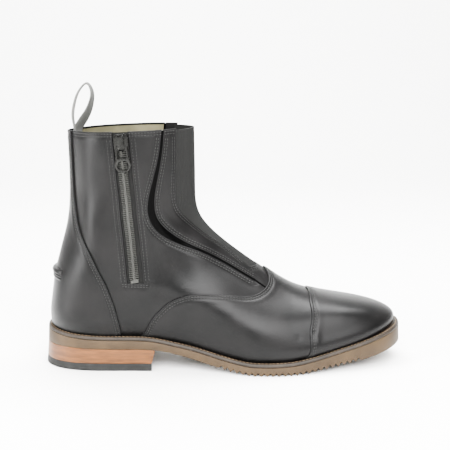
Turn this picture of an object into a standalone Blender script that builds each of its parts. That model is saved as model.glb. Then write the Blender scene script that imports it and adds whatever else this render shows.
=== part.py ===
"""Paddock boot, right foot: an ankle boot with a side zip, an elastic front, a toe cap and a low heel.

The boot stands on its heel and forefoot, toe towards +X, outer side towards -Y, +Z up.
Its origin is the middle of the heel's resting face. All sizes are in metres.
"""

import math

import bmesh
import bpy
import numpy as np
from mathutils import Matrix, Vector

MM = 0.001

# Driving sizes of the last and the sole
LENGTH = 295 * MM  # outsole, from heel to toe
BALL_WIDTH = 91 * MM  # upper across the ball, at its lower edge
COLLAR_HEIGHT = 190 * MM  # floor to the top line, at the heel
COLLAR_RISE = 3.5 * MM  # how much higher the top line is in front
TOE_SHIFT = 6 * MM  # the toe's tip leans inwards by this
HEEL_HEIGHT = 17.3 * MM  # floor to the sole's underside at the breast
TOE_SPRING = 16 * MM  # floor to the sole's underside at the tip
HEEL_LENGTH = 89 * MM
SOLE_THICKNESS = 6.7 * MM  # at the ball
WELT_THICKNESS = 3 * MM
TOP_LIFT = 4.3 * MM
BALL_FLAT = 0.2 * MM  # pressed flat under the ball

# Walls and overlaps
GAP = 0.3 * MM  # between pieces that touch
SEAT_GAP = 0.45 * MM  # under the upper and the insole, where both faces curve
WALL = 2 * MM  # lining and leather together
OVERLAY = 1.2 * MM  # vamp and back panel, sewn over the quarters
CAP_THICKNESS = 2.1 * MM  # toe cap, prouder than the vamp
WELT_LEDGE = 5 * MM  # welt edge beyond the upper's wall
SOLE_FLARE = 1 * MM  # sole edge beyond the welt
HEEL_FLARE = 1.5 * MM  # heel's foot beyond the sole edge
INSOLE_THICKNESS = 3.2 * MM
INSERT_DEPTH = 0.5 * MM  # how far elastic and zip tape lie below the leather's face
INSERT_WALL = 1.1 * MM
GROOVE_DEPTH = 1.3 * MM  # for the patent strip, in the upper's wall
PATENT_WALL = 0.7 * MM
BREAST_HOLLOW = 3 * MM
BREAST_SLOPE = 1.6 * MM

# Tread
TOOTH_PITCH = 4.8 * MM
TOOTH_DEPTH = 2.3 * MM
TOOTH_LAND = 0.8 * MM
TREAD_START = 0.478  # shares of the length
TREAD_END = 0.874

# Zip, on the outer side. Heights are measured outwards from the leather's face.
ZIP_SLOT = 12 * MM  # opening between the leather edges
ZIP_TOP = (66.7 * MM, 191 * MM)  # x and z of the opening's middle
ZIP_FOOT = (76.4 * MM, 73 * MM)
CHAIN_WIDTH = 7.4 * MM
CHAIN_HEIGHT = 0.9 * MM
SLIDER_LENGTH = 13 * MM
SLIDER_WIDTH = 11 * MM
SLIDER_HEIGHT = 2 * MM
BRIDGE_WIDTH = 4.6 * MM
BRIDGE_BAR = 1.2 * MM
BRIDGE_ROOM = 2.5 * MM  # free height under the bridge
PULL_BAR = 1.3 * MM
PULL_LENGTH = 20 * MM
PULL_WIDTH = 12.4 * MM
PULL_NECK = 10 * MM
PULL_CROSSBAR = 9 * MM  # from the hinge to the middle bar

# Loop and spur rest
LOOP_WIDTH = 9.5 * MM
LOOP_THICKNESS = 1.5 * MM
SPUR_REST_REACH = 2.6 * MM

# Mesh density
AROUND = 46
UPPER_ROWS = 16
SLAB_COLUMNS = 2

# Underside and featherline, from heel to toe.
# at: share of the length; heel and toe: shares of the heel height and toe spring in the underside's height;
# thick: share of the sole thickness between the underside and the welt.
SOLE_COLUMNS = ("at", "heel", "toe", "thick", "ledge")
SOLE_PROFILE = (
    (0.000, 1.085, 0.00, 1.75, 0.70),
    (0.040, 1.072, 0.00, 1.40, 0.68),
    (0.100, 1.054, 0.00, 1.12, 0.65),
    (0.200, 1.023, 0.00, 1.03, 0.68),
    (0.305, 0.990, 0.00, 0.95, 0.80),
    (0.360, 0.850, 0.00, 0.87, 0.92),
    (0.415, 0.640, 0.00, 0.93, 0.98),
    (0.470, 0.370, 0.00, 1.00, 1.00),
    (0.525, 0.130, 0.00, 1.04, 1.00),
    (0.580, 0.000, 0.00, 1.02, 1.00),
    (0.625, 0.000, 0.00, 1.02, 1.00),
    (0.675, 0.000, 0.01, 1.10, 1.00),
    (0.740, 0.000, 0.13, 1.26, 1.00),
    (0.810, 0.000, 0.33, 1.46, 1.00),
    (0.870, 0.000, 0.50, 1.66, 1.10),
    (0.930, 0.000, 0.72, 1.82, 1.40),
    (1.000, 0.000, 1.03, 1.90, 1.75),
)

# Sections of the last, from the featherline up to the collar, each a ring that leans a little.
# back, front: ends of the ring, shares of the length.
# rise_back, rise_front: shares of the way from the featherline to the collar.
# sag: how much the ring follows the featherline's wave.
# The rest are half-widths in shares of the ball width: heel end radius, heel, waist outer and inner,
# ball outer and inner, fore part, and toe end radius.
SECTION_COLUMNS = (
    "back", "front", "rise_back", "rise_front", "sag",
    "heel_end", "heel", "waist_out", "waist_in", "ball_out", "ball_in", "fore", "toe_end",
)
SECTIONS = (
    (0.0210, 0.964, 0.000, 0.000, 1.00, 0.25, 0.308, 0.355, 0.265, 0.500, 0.445, 0.385, 0.28),
    (0.0200, 0.970, 0.040, 0.032, 0.94, 0.33, 0.350, 0.388, 0.315, 0.535, 0.480, 0.405, 0.30),
    (0.0205, 0.955, 0.088, 0.063, 0.84, 0.37, 0.378, 0.402, 0.355, 0.532, 0.485, 0.385, 0.29),
    (0.0245, 0.895, 0.145, 0.103, 0.70, 0.36, 0.378, 0.405, 0.375, 0.500, 0.465, 0.365, 0.27),
    (0.0290, 0.790, 0.205, 0.140, 0.54, 0.34, 0.372, 0.402, 0.380, 0.448, 0.424, 0.322, 0.22),
    (0.0340, 0.690, 0.266, 0.193, 0.38, 0.31, 0.360, 0.395, 0.380, 0.396, 0.382, 0.275, 0.18),
    (0.0430, 0.606, 0.330, 0.287, 0.24, 0.27, 0.348, 0.388, 0.378, 0.362, 0.354, 0.250, 0.16),
    (0.0580, 0.522, 0.430, 0.397, 0.11, 0.22, 0.325, 0.384, 0.376, 0.350, 0.345, 0.245, 0.17),
    (0.0745, 0.437, 0.555, 0.546, 0.03, 0.19, 0.300, 0.388, 0.384, 0.366, 0.364, 0.265, 0.22),
    (0.0820, 0.420, 0.730, 0.728, 0.00, 0.20, 0.292, 0.398, 0.396, 0.390, 0.390, 0.285, 0.27),
    (0.0800, 0.418, 1.000, 1.000, 0.00, 0.23, 0.298, 0.408, 0.408, 0.404, 0.404, 0.298, 0.30),
)
STATIONS = (0.15, 0.40, 0.65, 0.85)  # where along a ring its widths are given
END_BAND = 0.06  # share of the height over which offsets turn level at both ends


# Seams in the side view, in mm: x from the heel's back, z from the floor. Both sides share them.
BACK_SEAM = (
    (27.0, 198), (27.6, 165), (28.4, 140), (33.0, 113), (43.3, 92), (53.2, 72), (60.6, 50), (65.0, 24),
)
VAMP_SEAM = (
    (176.5, 95), (179.5, 78), (182.2, 71), (179.5, 64.5), (170, 60.2), (155, 61), (140, 63.4), (126, 64.3),
    (113, 62.4), (102, 57), (93, 48.5), (86, 38.5), (80.5, 26), (78, 14),
)
CAP_SEAM = ((212, 0), (213.6, 24), (215, 40), (214.8, 52), (213.4, 66), (212, 80))
GORE_SEAM = (
    (109.5, 198), (109.2, 165), (108.6, 142), (111, 130.5), (117.5, 122), (131, 109.5), (147, 97.5),
    (158, 88.5), (165, 82.5), (169, 79.5),
)
GORE_TIP = 173 * MM
# The patent strip's middle line and width.
PATENT_STRIP = (
    (98.7, 188, 1.5), (97.4, 176, 1.7), (94.2, 160, 2.5), (90.6, 144, 3.7), (89.4, 132.5, 5.0), (91.6, 122.5, 5.4),
    (99.5, 112.5, 5.2), (110, 105.3, 3.7), (121, 99.6, 2.0), (140, 90, 1.5), (158, 79, 1.5), (171, 71, 1.5),
)
# The loop's path, from its sewn foot round to its other foot.
LOOP_PATH = (
    (28.2, 174), (28.2, 186), (27.4, 194), (26.6, 200), (27.4, 208), (29.6, 216), (33.4, 223), (38.4, 226.8),
    (41.8, 222), (41.6, 213), (38.8, 205), (34.2, 197.5), (30.4, 190), (30.1, 184), (30.1, 174),
)

SIDE_REACH = 90 * MM  # cutters run this far to both sides


def spline(at, values):
    """Returns a natural cubic spline through the values, which may be rows of several columns."""
    at = np.asarray(at, float)
    values = np.asarray(values, float)
    values = values.reshape(len(at), -1)
    step = np.diff(at)
    matrix = np.eye(len(at))
    right = np.zeros_like(values)
    for i in range(1, len(at) - 1):
        matrix[i, i - 1 : i + 2] = step[i - 1], 2 * (step[i - 1] + step[i]), step[i]
        right[i] = 6 * ((values[i + 1] - values[i]) / step[i] - (values[i] - values[i - 1]) / step[i - 1])
    bend = np.linalg.solve(matrix, right)

    def value(x):
        x = np.asarray(x, float)
        i = np.clip(np.searchsorted(at, x) - 1, 0, len(at) - 2)
        h = step[i][..., None]
        a = ((at[i + 1] - x) / step[i])[..., None]
        b = 1 - a
        low, high = values[i], values[i + 1]
        curve = ((a**3 - a) * bend[i] + (b**3 - b) * bend[i + 1]) * h * h / 6
        return a * low + b * high + curve

    return value


profile_at = spline([row[0] for row in SOLE_PROFILE], [row[1:] for row in SOLE_PROFILE])
section_at = spline(np.linspace(0, 1, len(SECTIONS)), SECTIONS)


def underside_z(x):
    """Height of the sole's underside, tooth tips included, at x from the heel's back."""
    heel, toe = np.moveaxis(profile_at(np.clip(np.asarray(x) / LENGTH, 0, 1)), -1, 0)[:2]
    return np.maximum(HEEL_HEIGHT * heel + TOE_SPRING * toe - BALL_FLAT, 0)


def feather_z(x):
    """Height of the featherline, where the upper meets the welt."""
    thick = profile_at(np.clip(np.asarray(x) / LENGTH, 0, 1))[..., 2]
    return underside_z(x) + SOLE_THICKNESS * thick + WELT_THICKNESS


def centre_y(x):
    """The last's centreline leans towards the inner side over the fore part."""
    fore = np.clip((np.asarray(x) / LENGTH - 0.5) / 0.5, 0, None)
    return TOE_SHIFT * fore**2


def last_point(phi, v):
    """Point of the upper's outer face.

    phi runs from the heel's back over the outer side, v from the featherline to the collar.
    """
    phi, v = np.broadcast_arrays(np.asarray(phi, float), np.asarray(v, float))
    column = dict(zip(SECTION_COLUMNS, np.moveaxis(section_at(v), -1, 0)))
    back, front = column["back"] * LENGTH, column["front"] * LENGTH
    along = (1 - np.cos(phi)) / 2
    x = back + (front - back) * along
    outer = np.sin(phi) >= 0
    end = (front - back) / 2
    round_width = 2 * np.sqrt(np.array(STATIONS) * (1 - np.array(STATIONS)))
    widths = (
        column["heel"],
        np.where(outer, column["waist_out"], column["waist_in"]),
        np.where(outer, column["ball_out"], column["ball_in"]),
        column["fore"],
    )
    knots = [np.sqrt(np.clip(column["heel_end"], 0.02, None) * BALL_WIDTH * end)]
    knots += [width * BALL_WIDTH / share for width, share in zip(widths, round_width)]
    knots += [np.sqrt(np.clip(column["toe_end"], 0.02, None) * BALL_WIDTH * end)]
    fullness = knot_value(knots, along)
    y = centre_y(x) - np.sin(phi) * fullness
    seat, tip = feather_z(SECTIONS[0][0] * LENGTH), feather_z(SECTIONS[0][1] * LENGTH)
    z_back = seat + column["rise_back"] * (COLLAR_HEIGHT - seat)
    z_front = tip + column["rise_front"] * (COLLAR_HEIGHT + COLLAR_RISE - tip)
    chord = feather_z(back) + (feather_z(front) - feather_z(back)) * along
    z = z_back + (z_front - z_back) * along + column["sag"] * (feather_z(x) - chord)
    return np.stack([x, y, z], -1)


KNOT_STATIONS = (0.0, *STATIONS, 1.0)
KNOT_BASIS = spline(KNOT_STATIONS, np.eye(len(KNOT_STATIONS)))


def knot_value(knots, along):
    """Smooth value between the knots of a ring, at a share of its length."""
    weights = KNOT_BASIS(along)
    return sum(weights[..., i] * knot for i, knot in enumerate(knots))


def surface(phi, v, offset=0.0):
    """Point of the upper's outer face, moved outwards by the offset.

    The end rings move level: the lowest keeps to the featherline's height, the highest to the collar's.
    """
    step = 1e-4
    phi, v = np.broadcast_arrays(np.asarray(phi, float), np.asarray(v, float))
    low, high = np.clip(v - step, 0, 1), np.clip(v + step, 0, 1)
    around = last_point(phi + step, v) - last_point(phi - step, v)
    up = last_point(phi, high) - last_point(phi, low)
    normal = np.cross(around, up)
    normal[..., 2] *= np.clip(np.minimum(v, 1 - v) / END_BAND, 0, 1)
    normal /= np.linalg.norm(normal, axis=-1, keepdims=True)
    here = last_point(phi, v)
    moved = here + normal * np.asarray(offset)[..., None]
    moved[..., 2] += np.clip(1 - v / END_BAND, 0, 1) * (feather_z(moved[..., 0]) - feather_z(here[..., 0]))
    return moved


def edge_point(phi, out):
    """Point of the sole's rim: out is its distance beyond the welt's edge. Its height is the featherline's."""
    phi = np.asarray(phi, float)
    here = last_point(phi, 0.0)
    along = last_point(phi + 1e-4, 0.0) - last_point(phi - 1e-4, 0.0)
    normal = np.stack([along[..., 1], -along[..., 0]], -1)
    normal /= np.linalg.norm(normal, axis=-1, keepdims=True)
    ledge = profile_at(np.clip(here[..., 0] / LENGTH, 0, 1))[..., 3] * WELT_LEDGE
    here[..., :2] += normal * (ledge + out)[..., None]
    return here


def on_outer_side(x, z):
    """Returns phi and v of the outer face's point that the side view shows at x and z."""
    guess = np.array([1.6, 0.6])
    for _ in range(30):
        here = last_point(*guess)[[0, 2]]
        right = last_point(guess[0] + 1e-4, guess[1])[[0, 2]]
        above = last_point(guess[0], guess[1] + 1e-4)[[0, 2]]
        slope = np.stack([right - here, above - here], -1) / 1e-4
        guess = guess + np.linalg.solve(slope, np.array([x, z]) - here) * 0.7
        guess = np.clip(guess, (0.2, 0.0), (2.9, 0.9999))
    return guess


def material(name, colour, roughness, metallic=0.0):
    """A plain finish for one kind of piece."""
    made = bpy.data.materials.new(name)
    made.use_nodes = True
    shader = made.node_tree.nodes["Principled BSDF"]
    shader.inputs["Base Color"].default_value = (*colour, 1.0)
    shader.inputs["Roughness"].default_value = roughness
    shader.inputs["Metallic"].default_value = metallic
    return made


def finish(name, bm, finish_material, parent):
    """Makes the bmesh a named piece of the boot."""
    bmesh.ops.recalc_face_normals(bm, faces=bm.faces)
    mesh = bpy.data.meshes.new(name)
    bm.to_mesh(mesh)
    bm.free()
    piece = bpy.data.objects.new(name, mesh)
    bpy.context.scene.collection.objects.link(piece)
    piece.parent = parent
    if finish_material:
        mesh.materials.append(finish_material)
        mesh.shade_smooth()
        mesh.set_sharp_from_angle(angle=math.radians(40))
    return piece


def grid_faces(bm, rows, wrap):
    """Triangles between rows of vertices. wrap joins each row's last vertex to its first."""
    for low, high in zip(rows, rows[1:]):
        count = len(low)
        for i in range(count if wrap else count - 1):
            j = (i + 1) % count
            bm.faces.new((low[i], low[j], high[j]))
            bm.faces.new((low[i], high[j], high[i]))


def rim_of(rows):
    """The border of a grid of vertices, once round."""
    ends = [row[-1] for row in rows[1:-1]]
    starts = [row[0] for row in rows[-2:0:-1]]
    return rows[0] + ends + rows[-1][::-1] + starts


def solid_between(name, low, high, finish_material, parent):
    """A closed piece between two grids of points."""
    bm = bmesh.new()
    grids = [[[bm.verts.new(point) for point in row] for row in grid] for grid in (low, high)]
    for grid in grids:
        grid_faces(bm, grid, False)
    grid_faces(bm, [rim_of(grid) for grid in grids], True)
    return finish(name, bm, finish_material, parent)


def ring_shell(name, inner, outer, finish_material, parent):
    """A wall all round the last between two offsets, open at the top and at the bottom."""
    bm = bmesh.new()
    phi = np.linspace(0, 2 * math.pi, AROUND, endpoint=False)
    walls = []
    for offset in (inner, outer):
        rows = []
        for v in np.linspace(0, 1, UPPER_ROWS):
            points = surface(phi, v, offset)
            points[:, 2] += SEAT_GAP
            rows.append([bm.verts.new(point) for point in points])
        grid_faces(bm, rows, True)
        walls.append(rows)
    for end in (0, -1):
        grid_faces(bm, [wall[end] for wall in walls], True)
    return finish(name, bm, finish_material, parent)


def half_rim(side, out, end_x):
    """Points along one side of the sole's rim, from the heel's back to where x is end_x."""
    dense = np.linspace(0, math.pi, 721)
    rim = edge_point(side * dense, out)
    last = np.interp(end_x, rim[:, 0], dense) if end_x < rim[-1, 0] else math.pi * (1 - 0.5 / STRIPS)
    phi = np.linspace(math.pi * 0.5 / STRIPS, last, STRIPS)
    return edge_point(side * phi, out)


STRIPS = 26  # stations along the sole


def sole_slab(name, low, high, finish_material, parent, hollow=0.0):
    """A board with the sole's plan. low and high each give: distance beyond the welt, height over x, and end."""
    grids = []
    for out, height, end_x in (low, high):
        outer_side, inner_side = half_rim(1, out, end_x), half_rim(-1, out, end_x)
        grid = []
        for i, (a, b) in enumerate(zip(outer_side, inner_side)):
            share = np.linspace(0, 1, SLAB_COLUMNS + 1)[:, None]
            row = a + (b - a) * share
            bow = 1 - (2 * share[:, 0] - 1) ** 2
            row[:, 0] -= hollow * bow * (i / (STRIPS - 1)) ** 4
            row[:, 2] = height(row[:, 0])
            grid.append(list(row))
        grids.append(grid)
    return solid_between(name, *grids, finish_material, parent)


def patch(name, phi_range, v_range, inner, reach, finish_material, parent, columns=16, rows=6):
    """A closed pad on the last: it starts at the inner offset and rises to a rounded reach in its middle."""
    across, upward = np.meshgrid(np.linspace(-1, 1, columns), np.linspace(-1, 1, rows))
    phi = phi_range[0] + (phi_range[1] - phi_range[0]) * (across + 1) / 2
    v = v_range[0] + (v_range[1] - v_range[0]) * (upward + 1) / 2
    rise = 0.35 + 0.65 * (1 - np.abs(across) ** 4) * (1 - np.abs(upward) ** 3)
    grids = []
    for offset in (np.full(across.shape, inner), inner + reach * rise):
        points = surface(phi, v, offset)
        grids.append([list(row) for row in points])
    return solid_between(name, *grids, finish_material, parent)


def extruded(name, outline, low, high, placing, finish_material, parent):
    """A flat outline of (a, b) run from low to high along its third axis, then placed by the matrix."""
    bm = bmesh.new()
    rings = [[bm.verts.new(placing @ Vector((a, b, depth))) for a, b in outline] for depth in (low, high)]
    for ring in rings:
        bm.faces.new(ring)
    grid_faces(bm, rings, True)
    return finish(name, bm, finish_material, parent)


SIDE_VIEW = Matrix(((1, 0, 0, 0), (0, 0, 1, 0), (0, 1, 0, 0), (0, 0, 0, 1)))


def side_cutter(name, outline, parent, low=-SIDE_REACH, high=SIDE_REACH):
    """A cutter: a side-view outline of x and z, run across the boot."""
    cutter = extruded(name, outline, low, high, SIDE_VIEW, None, parent)
    cutter.hide_render = True
    cutter.display_type = "WIRE"
    return cutter


def boolean(piece, cutter, operation):
    """Adds a Boolean to the piece."""
    cut = piece.modifiers.new(operation.lower(), "BOOLEAN")
    cut.operation = operation
    cut.object = cutter


def smooth(points, steps):
    """A smooth line through the points, which are in mm, as metres."""
    points = np.asarray(points, float)
    length = np.concatenate([[0], np.cumsum(np.linalg.norm(np.diff(points[:, :2], axis=0), axis=1))])
    return spline(length, points)(np.linspace(0, length[-1], steps)) * MM


def shifted(line, distance):
    """The line moved sideways by the distance, to the right of its direction."""
    along = np.gradient(line, axis=0)
    along /= np.linalg.norm(along, axis=1, keepdims=True)
    return line + np.stack([along[:, 1], -along[:, 0]], -1) * np.reshape(distance, (-1, 1))


def band(line, widths):
    """Outline of a band along the line."""
    return np.concatenate([shifted(line, widths / 2), shifted(line, -widths / 2)[::-1]])


def build_sole(boot):
    """Top lift, heel stack, outsole with its tread, welt and insole."""
    top_rubber = material("top_lift_rubber", (0.10, 0.10, 0.09), 0.7)
    stack = material("heel_stack", (0.39, 0.24, 0.14), 0.5)
    tan_rubber = material("tan_rubber", (0.36, 0.25, 0.16), 0.6)
    welt_leather = material("welt_leather", (0.16, 0.12, 0.09), 0.6)
    lining = material("lining", (0.25, 0.24, 0.18), 0.8)
    foot_out = SOLE_FLARE + HEEL_FLARE

    def level(z):
        return lambda x: np.full_like(x, z)

    def heel_top(x):
        return underside_z(x) - GAP

    def outsole_top(x):
        return feather_z(x) - WELT_THICKNESS

    lift_out = foot_out - HEEL_FLARE * TOP_LIFT / HEEL_HEIGHT
    sole_slab(
        "top_lift",
        (foot_out, level(0.0), HEEL_LENGTH - BREAST_SLOPE / 2),
        (lift_out, level(TOP_LIFT), HEEL_LENGTH - BREAST_SLOPE / 2),
        top_rubber, boot, BREAST_HOLLOW,
    )
    sole_slab(
        "heel_stack",
        (lift_out, level(TOP_LIFT + GAP), HEEL_LENGTH - BREAST_SLOPE / 2),
        (SOLE_FLARE, heel_top, HEEL_LENGTH + BREAST_SLOPE),
        stack, boot, BREAST_HOLLOW,
    )
    outsole = sole_slab(
        "outsole", (SOLE_FLARE, underside_z, LENGTH), (SOLE_FLARE / 2, outsole_top, LENGTH), tan_rubber, boot,
    )
    boolean(outsole, side_cutter("tread_cutter", tread_outline(), boot), "DIFFERENCE")
    sole_slab(
        "welt",
        (SOLE_FLARE / 2, lambda x: outsole_top(x) + GAP, LENGTH),
        (0.0, feather_z, LENGTH),
        welt_leather, boot,
    )
    inside = -WALL - 2 * GAP

    def insole_rim(side, height):
        phi = np.linspace(math.pi * 0.5 / STRIPS, math.pi * (1 - 0.5 / STRIPS), STRIPS)
        rim = surface(side * phi, 0.0, inside)
        rim[:, 2] = feather_z(rim[:, 0]) + height
        return rim

    grids = []
    for height in (SEAT_GAP, SEAT_GAP + INSOLE_THICKNESS):
        share = np.linspace(0, 1, SLAB_COLUMNS + 1)[:, None]
        pairs = zip(insole_rim(1, height), insole_rim(-1, height))
        grids.append([list(a + (b - a) * share) for a, b in pairs])
    solid_between("insole", *grids, lining, boot)


def tread_outline():
    """Side view of the saw teeth to be cut from the forepart's underside."""
    start, end = TREAD_START * LENGTH, TREAD_END * LENGTH
    count = round((end - start) / TOOTH_PITCH)
    outline = []
    for i in range(count):
        x = start + i * TOOTH_PITCH
        middle = x + TOOTH_LAND + (TOOTH_PITCH - TOOTH_LAND) / 2
        outline += [(x, underside_z(x) - 0.0003), (x + TOOTH_LAND, underside_z(x + TOOTH_LAND) - 0.0003)]
        outline += [(middle, underside_z(middle) + TOOTH_DEPTH)]
    return outline + [(end, underside_z(end) - 0.0003), (end, -0.02), (start, -0.02)]


def build_upper(boot):
    """The hollow upper, its sewn-on panels, the elastic gore and the patent strips."""
    leather = material("black_leather", (0.03, 0.03, 0.03), 0.4)
    patent = material("patent_leather", (0.01, 0.01, 0.01), 0.12)
    elastic = material("elastic", (0.035, 0.035, 0.035), 0.85)
    top, floor, front = 0.25, -0.01, 0.33

    gore_line = smooth(GORE_SEAM, 24)
    strip = smooth(PATENT_STRIP, 36)
    strip_line, strip_width = strip[:, :2], strip[:, 2]
    zip_line = np.linspace(ZIP_TOP, ZIP_FOOT, 3)
    zip_line[0] += (zip_line[0] - zip_line[1]) * 0.15

    def gore_outline(inset):
        edge = shifted(gore_line, -inset)
        return list(edge) + [(GORE_TIP - inset, edge[-1, 1]), (GORE_TIP - inset, 0.1), (front, 0.1), (front, top), (edge[0, 0], top)]

    upper = ring_shell("upper", -WALL, 0.0, leather, boot)
    boolean(upper, side_cutter("gore_cutter", gore_outline(0.0), boot), "DIFFERENCE")
    boolean(upper, side_cutter("zip_cutter", band(zip_line, np.full(3, ZIP_SLOT)), boot, high=0.0), "DIFFERENCE")
    groove = ring_shell("groove_cutter", -GROOVE_DEPTH, 3 * MM, None, boot)
    groove.hide_render = True
    groove.display_type = "WIRE"
    boolean(groove, side_cutter("groove_outline", band(strip_line, strip_width), boot), "INTERSECT")
    boolean(upper, groove, "DIFFERENCE")

    gore = ring_shell("elastic_gore", -INSERT_DEPTH - INSERT_WALL, -INSERT_DEPTH, elastic, boot)
    boolean(gore, side_cutter("gore_outline", gore_outline(GAP), boot), "INTERSECT")
    for side, low, high in (("outer", -SIDE_REACH, 0.0), ("inner", 0.0, SIDE_REACH)):
        name = f"patent_strip_{side}"
        outline = band(strip_line[1:-1], strip_width[1:-1] - 2 * GAP)
        piece = ring_shell(name, -GROOVE_DEPTH + GAP, -GROOVE_DEPTH + GAP + PATENT_WALL, patent, boot)
        boolean(piece, side_cutter(f"{name}_outline", outline, boot, low, high), "INTERSECT")

    back_line = smooth(BACK_SEAM, 24)
    back = ring_shell("back_panel", GAP, GAP + OVERLAY, leather, boot)
    outline = list(back_line) + [(back_line[-1, 0], floor), (floor, floor), (floor, top), (back_line[0, 0], top)]
    boolean(back, side_cutter("back_outline", outline, boot), "INTERSECT")

    cap_line = smooth(CAP_SEAM, 12)
    vamp_line = smooth(VAMP_SEAM, 40)
    vamp = ring_shell("vamp", GAP, GAP + OVERLAY, leather, boot)
    outline = list(vamp_line) + list(cap_line - (GAP, 0)) + [(cap_line[-1, 0] - GAP, 0.12), (vamp_line[0, 0], 0.12)]
    boolean(vamp, side_cutter("vamp_outline", outline, boot), "INTERSECT")
    cap = ring_shell("toe_cap", GAP, GAP + CAP_THICKNESS, leather, boot)
    outline = list(cap_line) + [(cap_line[-1, 0], 0.12), (front, 0.12), (front, floor), (cap_line[0, 0], floor)]
    boolean(cap, side_cutter("cap_outline", outline, boot), "INTERSECT")

    above = GAP + OVERLAY + GAP
    patch("spur_rest", (-0.37, 0.37), (0.475, 0.555), above, SPUR_REST_REACH, leather, boot)


def zip_placing(distance):
    """Matrix of the zip's own frame, the distance below the collar: x down the zip, y across, z outwards."""
    top, foot = Vector((ZIP_TOP[0], 0, ZIP_TOP[1])), Vector((ZIP_FOOT[0], 0, ZIP_FOOT[1]))
    here = top + (foot - top).normalized() * distance
    below = here + (foot - top).normalized() * SLIDER_LENGTH
    origin = Vector(last_point(*on_outer_side(here.x, here.z)))
    beyond = Vector(last_point(*on_outer_side(below.x, below.z)))
    down = (beyond - origin).normalized()
    outwards = (Vector((0, -1, 0)) + down * down.y).normalized()
    across = outwards.cross(down)
    turn = Matrix((down, across, outwards)).transposed().to_4x4()
    return Matrix.Translation(origin + Vector((0, 0, SEAT_GAP))) @ turn


def rounded(width, start, end, corner, steps=4):
    """Outline of a rounded rectangle: from start to end along, the width across."""
    outline = []
    for a, b, turn in ((end, 0.5, 0), (end, -0.5, 0), (start, -0.5, 0), (start, 0.5, 0)):
        centre = (a - math.copysign(corner, a - (start + end) / 2), b * width - math.copysign(corner, b))
        outline.append((a, b, centre))
    points = []
    first_angle = {(True, True): 90, (True, False): 0, (False, False): -90, (False, True): -180}
    for a, b, centre in outline:
        begin = first_angle[(a == end, b > 0)]
        for i in range(steps + 1):
            angle = math.radians(begin - 90 * i / steps)
            points.append((centre[0] + corner * math.cos(angle), centre[1] + corner * math.sin(angle)))
    return points


def build_zip(boot):
    """Zip tape, chain, slider and its pull, on the outer side."""
    tape_cloth = material("zip_tape", (0.03, 0.03, 0.03), 0.85)
    metal = material("dark_metal", (0.22, 0.22, 0.21), 0.35, 0.9)
    line = np.linspace(ZIP_TOP, ZIP_FOOT, 3)
    down = (line[-1] - line[0]) / np.linalg.norm(line[-1] - line[0])
    tape_line = np.stack([line[0] - down * 0.01, line[1], line[2] - down * GAP])
    tape = ring_shell("zip_tape", -INSERT_DEPTH - INSERT_WALL, -INSERT_DEPTH, tape_cloth, boot)
    outline = band(tape_line, np.full(3, ZIP_SLOT - 2 * GAP))
    boolean(tape, side_cutter("tape_outline", outline, boot, high=0.0), "INTERSECT")
    slider_end = 1 * MM + SLIDER_LENGTH
    chain_line = np.stack([line[0] + down * (slider_end + GAP), line[1], line[2] - down * 2 * MM])
    chain = ring_shell("zip_chain", -INSERT_DEPTH + GAP, CHAIN_HEIGHT, metal, boot)
    outline = band(chain_line, np.full(3, CHAIN_WIDTH))
    boolean(chain, side_cutter("chain_outline", outline, boot, high=0.0), "INTERSECT")

    placing = zip_placing(1 * MM)
    bottom = -INSERT_DEPTH + 2 * GAP
    outline = rounded(SLIDER_WIDTH, 0, SLIDER_LENGTH, 2.4 * MM)
    slider = extruded("zip_slider", outline, bottom, SLIDER_HEIGHT, placing, metal, boot)
    crown = SLIDER_HEIGHT + BRIDGE_ROOM + BRIDGE_BAR
    foot, slope = SLIDER_HEIGHT - 0.5 * MM, 1.4 * MM
    under = SLIDER_HEIGHT + BRIDGE_ROOM
    start, end = 0.6 * MM, SLIDER_LENGTH - 0.2 * MM
    arch = [
        (start, foot), (start, crown - slope), (start + slope, crown), (end - slope, crown), (end, crown - slope),
        (end, foot), (end - BRIDGE_BAR, foot), (end - BRIDGE_BAR, under), (start + BRIDGE_BAR, under),
        (start + BRIDGE_BAR, foot),
    ]
    upright = placing @ Matrix(((1, 0, 0, 0), (0, 0, 1, 0), (0, 1, 0, 0), (0, 0, 0, 1)))
    bridge = extruded("bridge_shape", arch, -BRIDGE_WIDTH / 2, BRIDGE_WIDTH / 2, upright, None, boot)
    bridge.hide_render = True
    bridge.display_type = "WIRE"
    boolean(slider, bridge, "UNION")

    hinge = (end - BRIDGE_BAR - 1.35 * MM, 0, SLIDER_HEIGHT + BRIDGE_ROOM / 2)
    frame = placing @ Matrix.Translation(hinge)
    half = PULL_BAR / 2
    neck_end = PULL_CROSSBAR + 1 * MM
    outline = [
        (-half, PULL_NECK / 2), (-half, -PULL_NECK / 2), (neck_end - 2 * MM, -PULL_NECK / 2),
    ]
    centre, radius = PULL_LENGTH - half - PULL_WIDTH / 2, PULL_WIDTH / 2
    for i in range(13):
        angle = math.radians(-105 + 210 * i / 12)
        outline.append((centre + radius * math.cos(angle), radius * math.sin(angle)))
    outline.append((neck_end - 2 * MM, PULL_NECK / 2))
    pull = extruded("zip_pull", outline, -half, half, frame, metal, boot)
    rail = 1.7 * MM
    window = rounded(PULL_NECK - 2 * rail, half, PULL_CROSSBAR - half, 0.6 * MM, 2)
    eye = [
        (centre + 0.8 * MM + (radius - 2.1 * MM) * math.cos(a), (radius - 2.1 * MM) * math.sin(a))
        for a in np.linspace(0, 2 * math.pi, 16, endpoint=False)
    ]
    for name, hole in (("window_cutter", window), ("eye_cutter", eye)):
        cutter = extruded(name, hole, -2 * MM, 2 * MM, frame, None, boot)
        cutter.hide_render = True
        cutter.display_type = "WIRE"
        boolean(pull, cutter, "DIFFERENCE")


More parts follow.
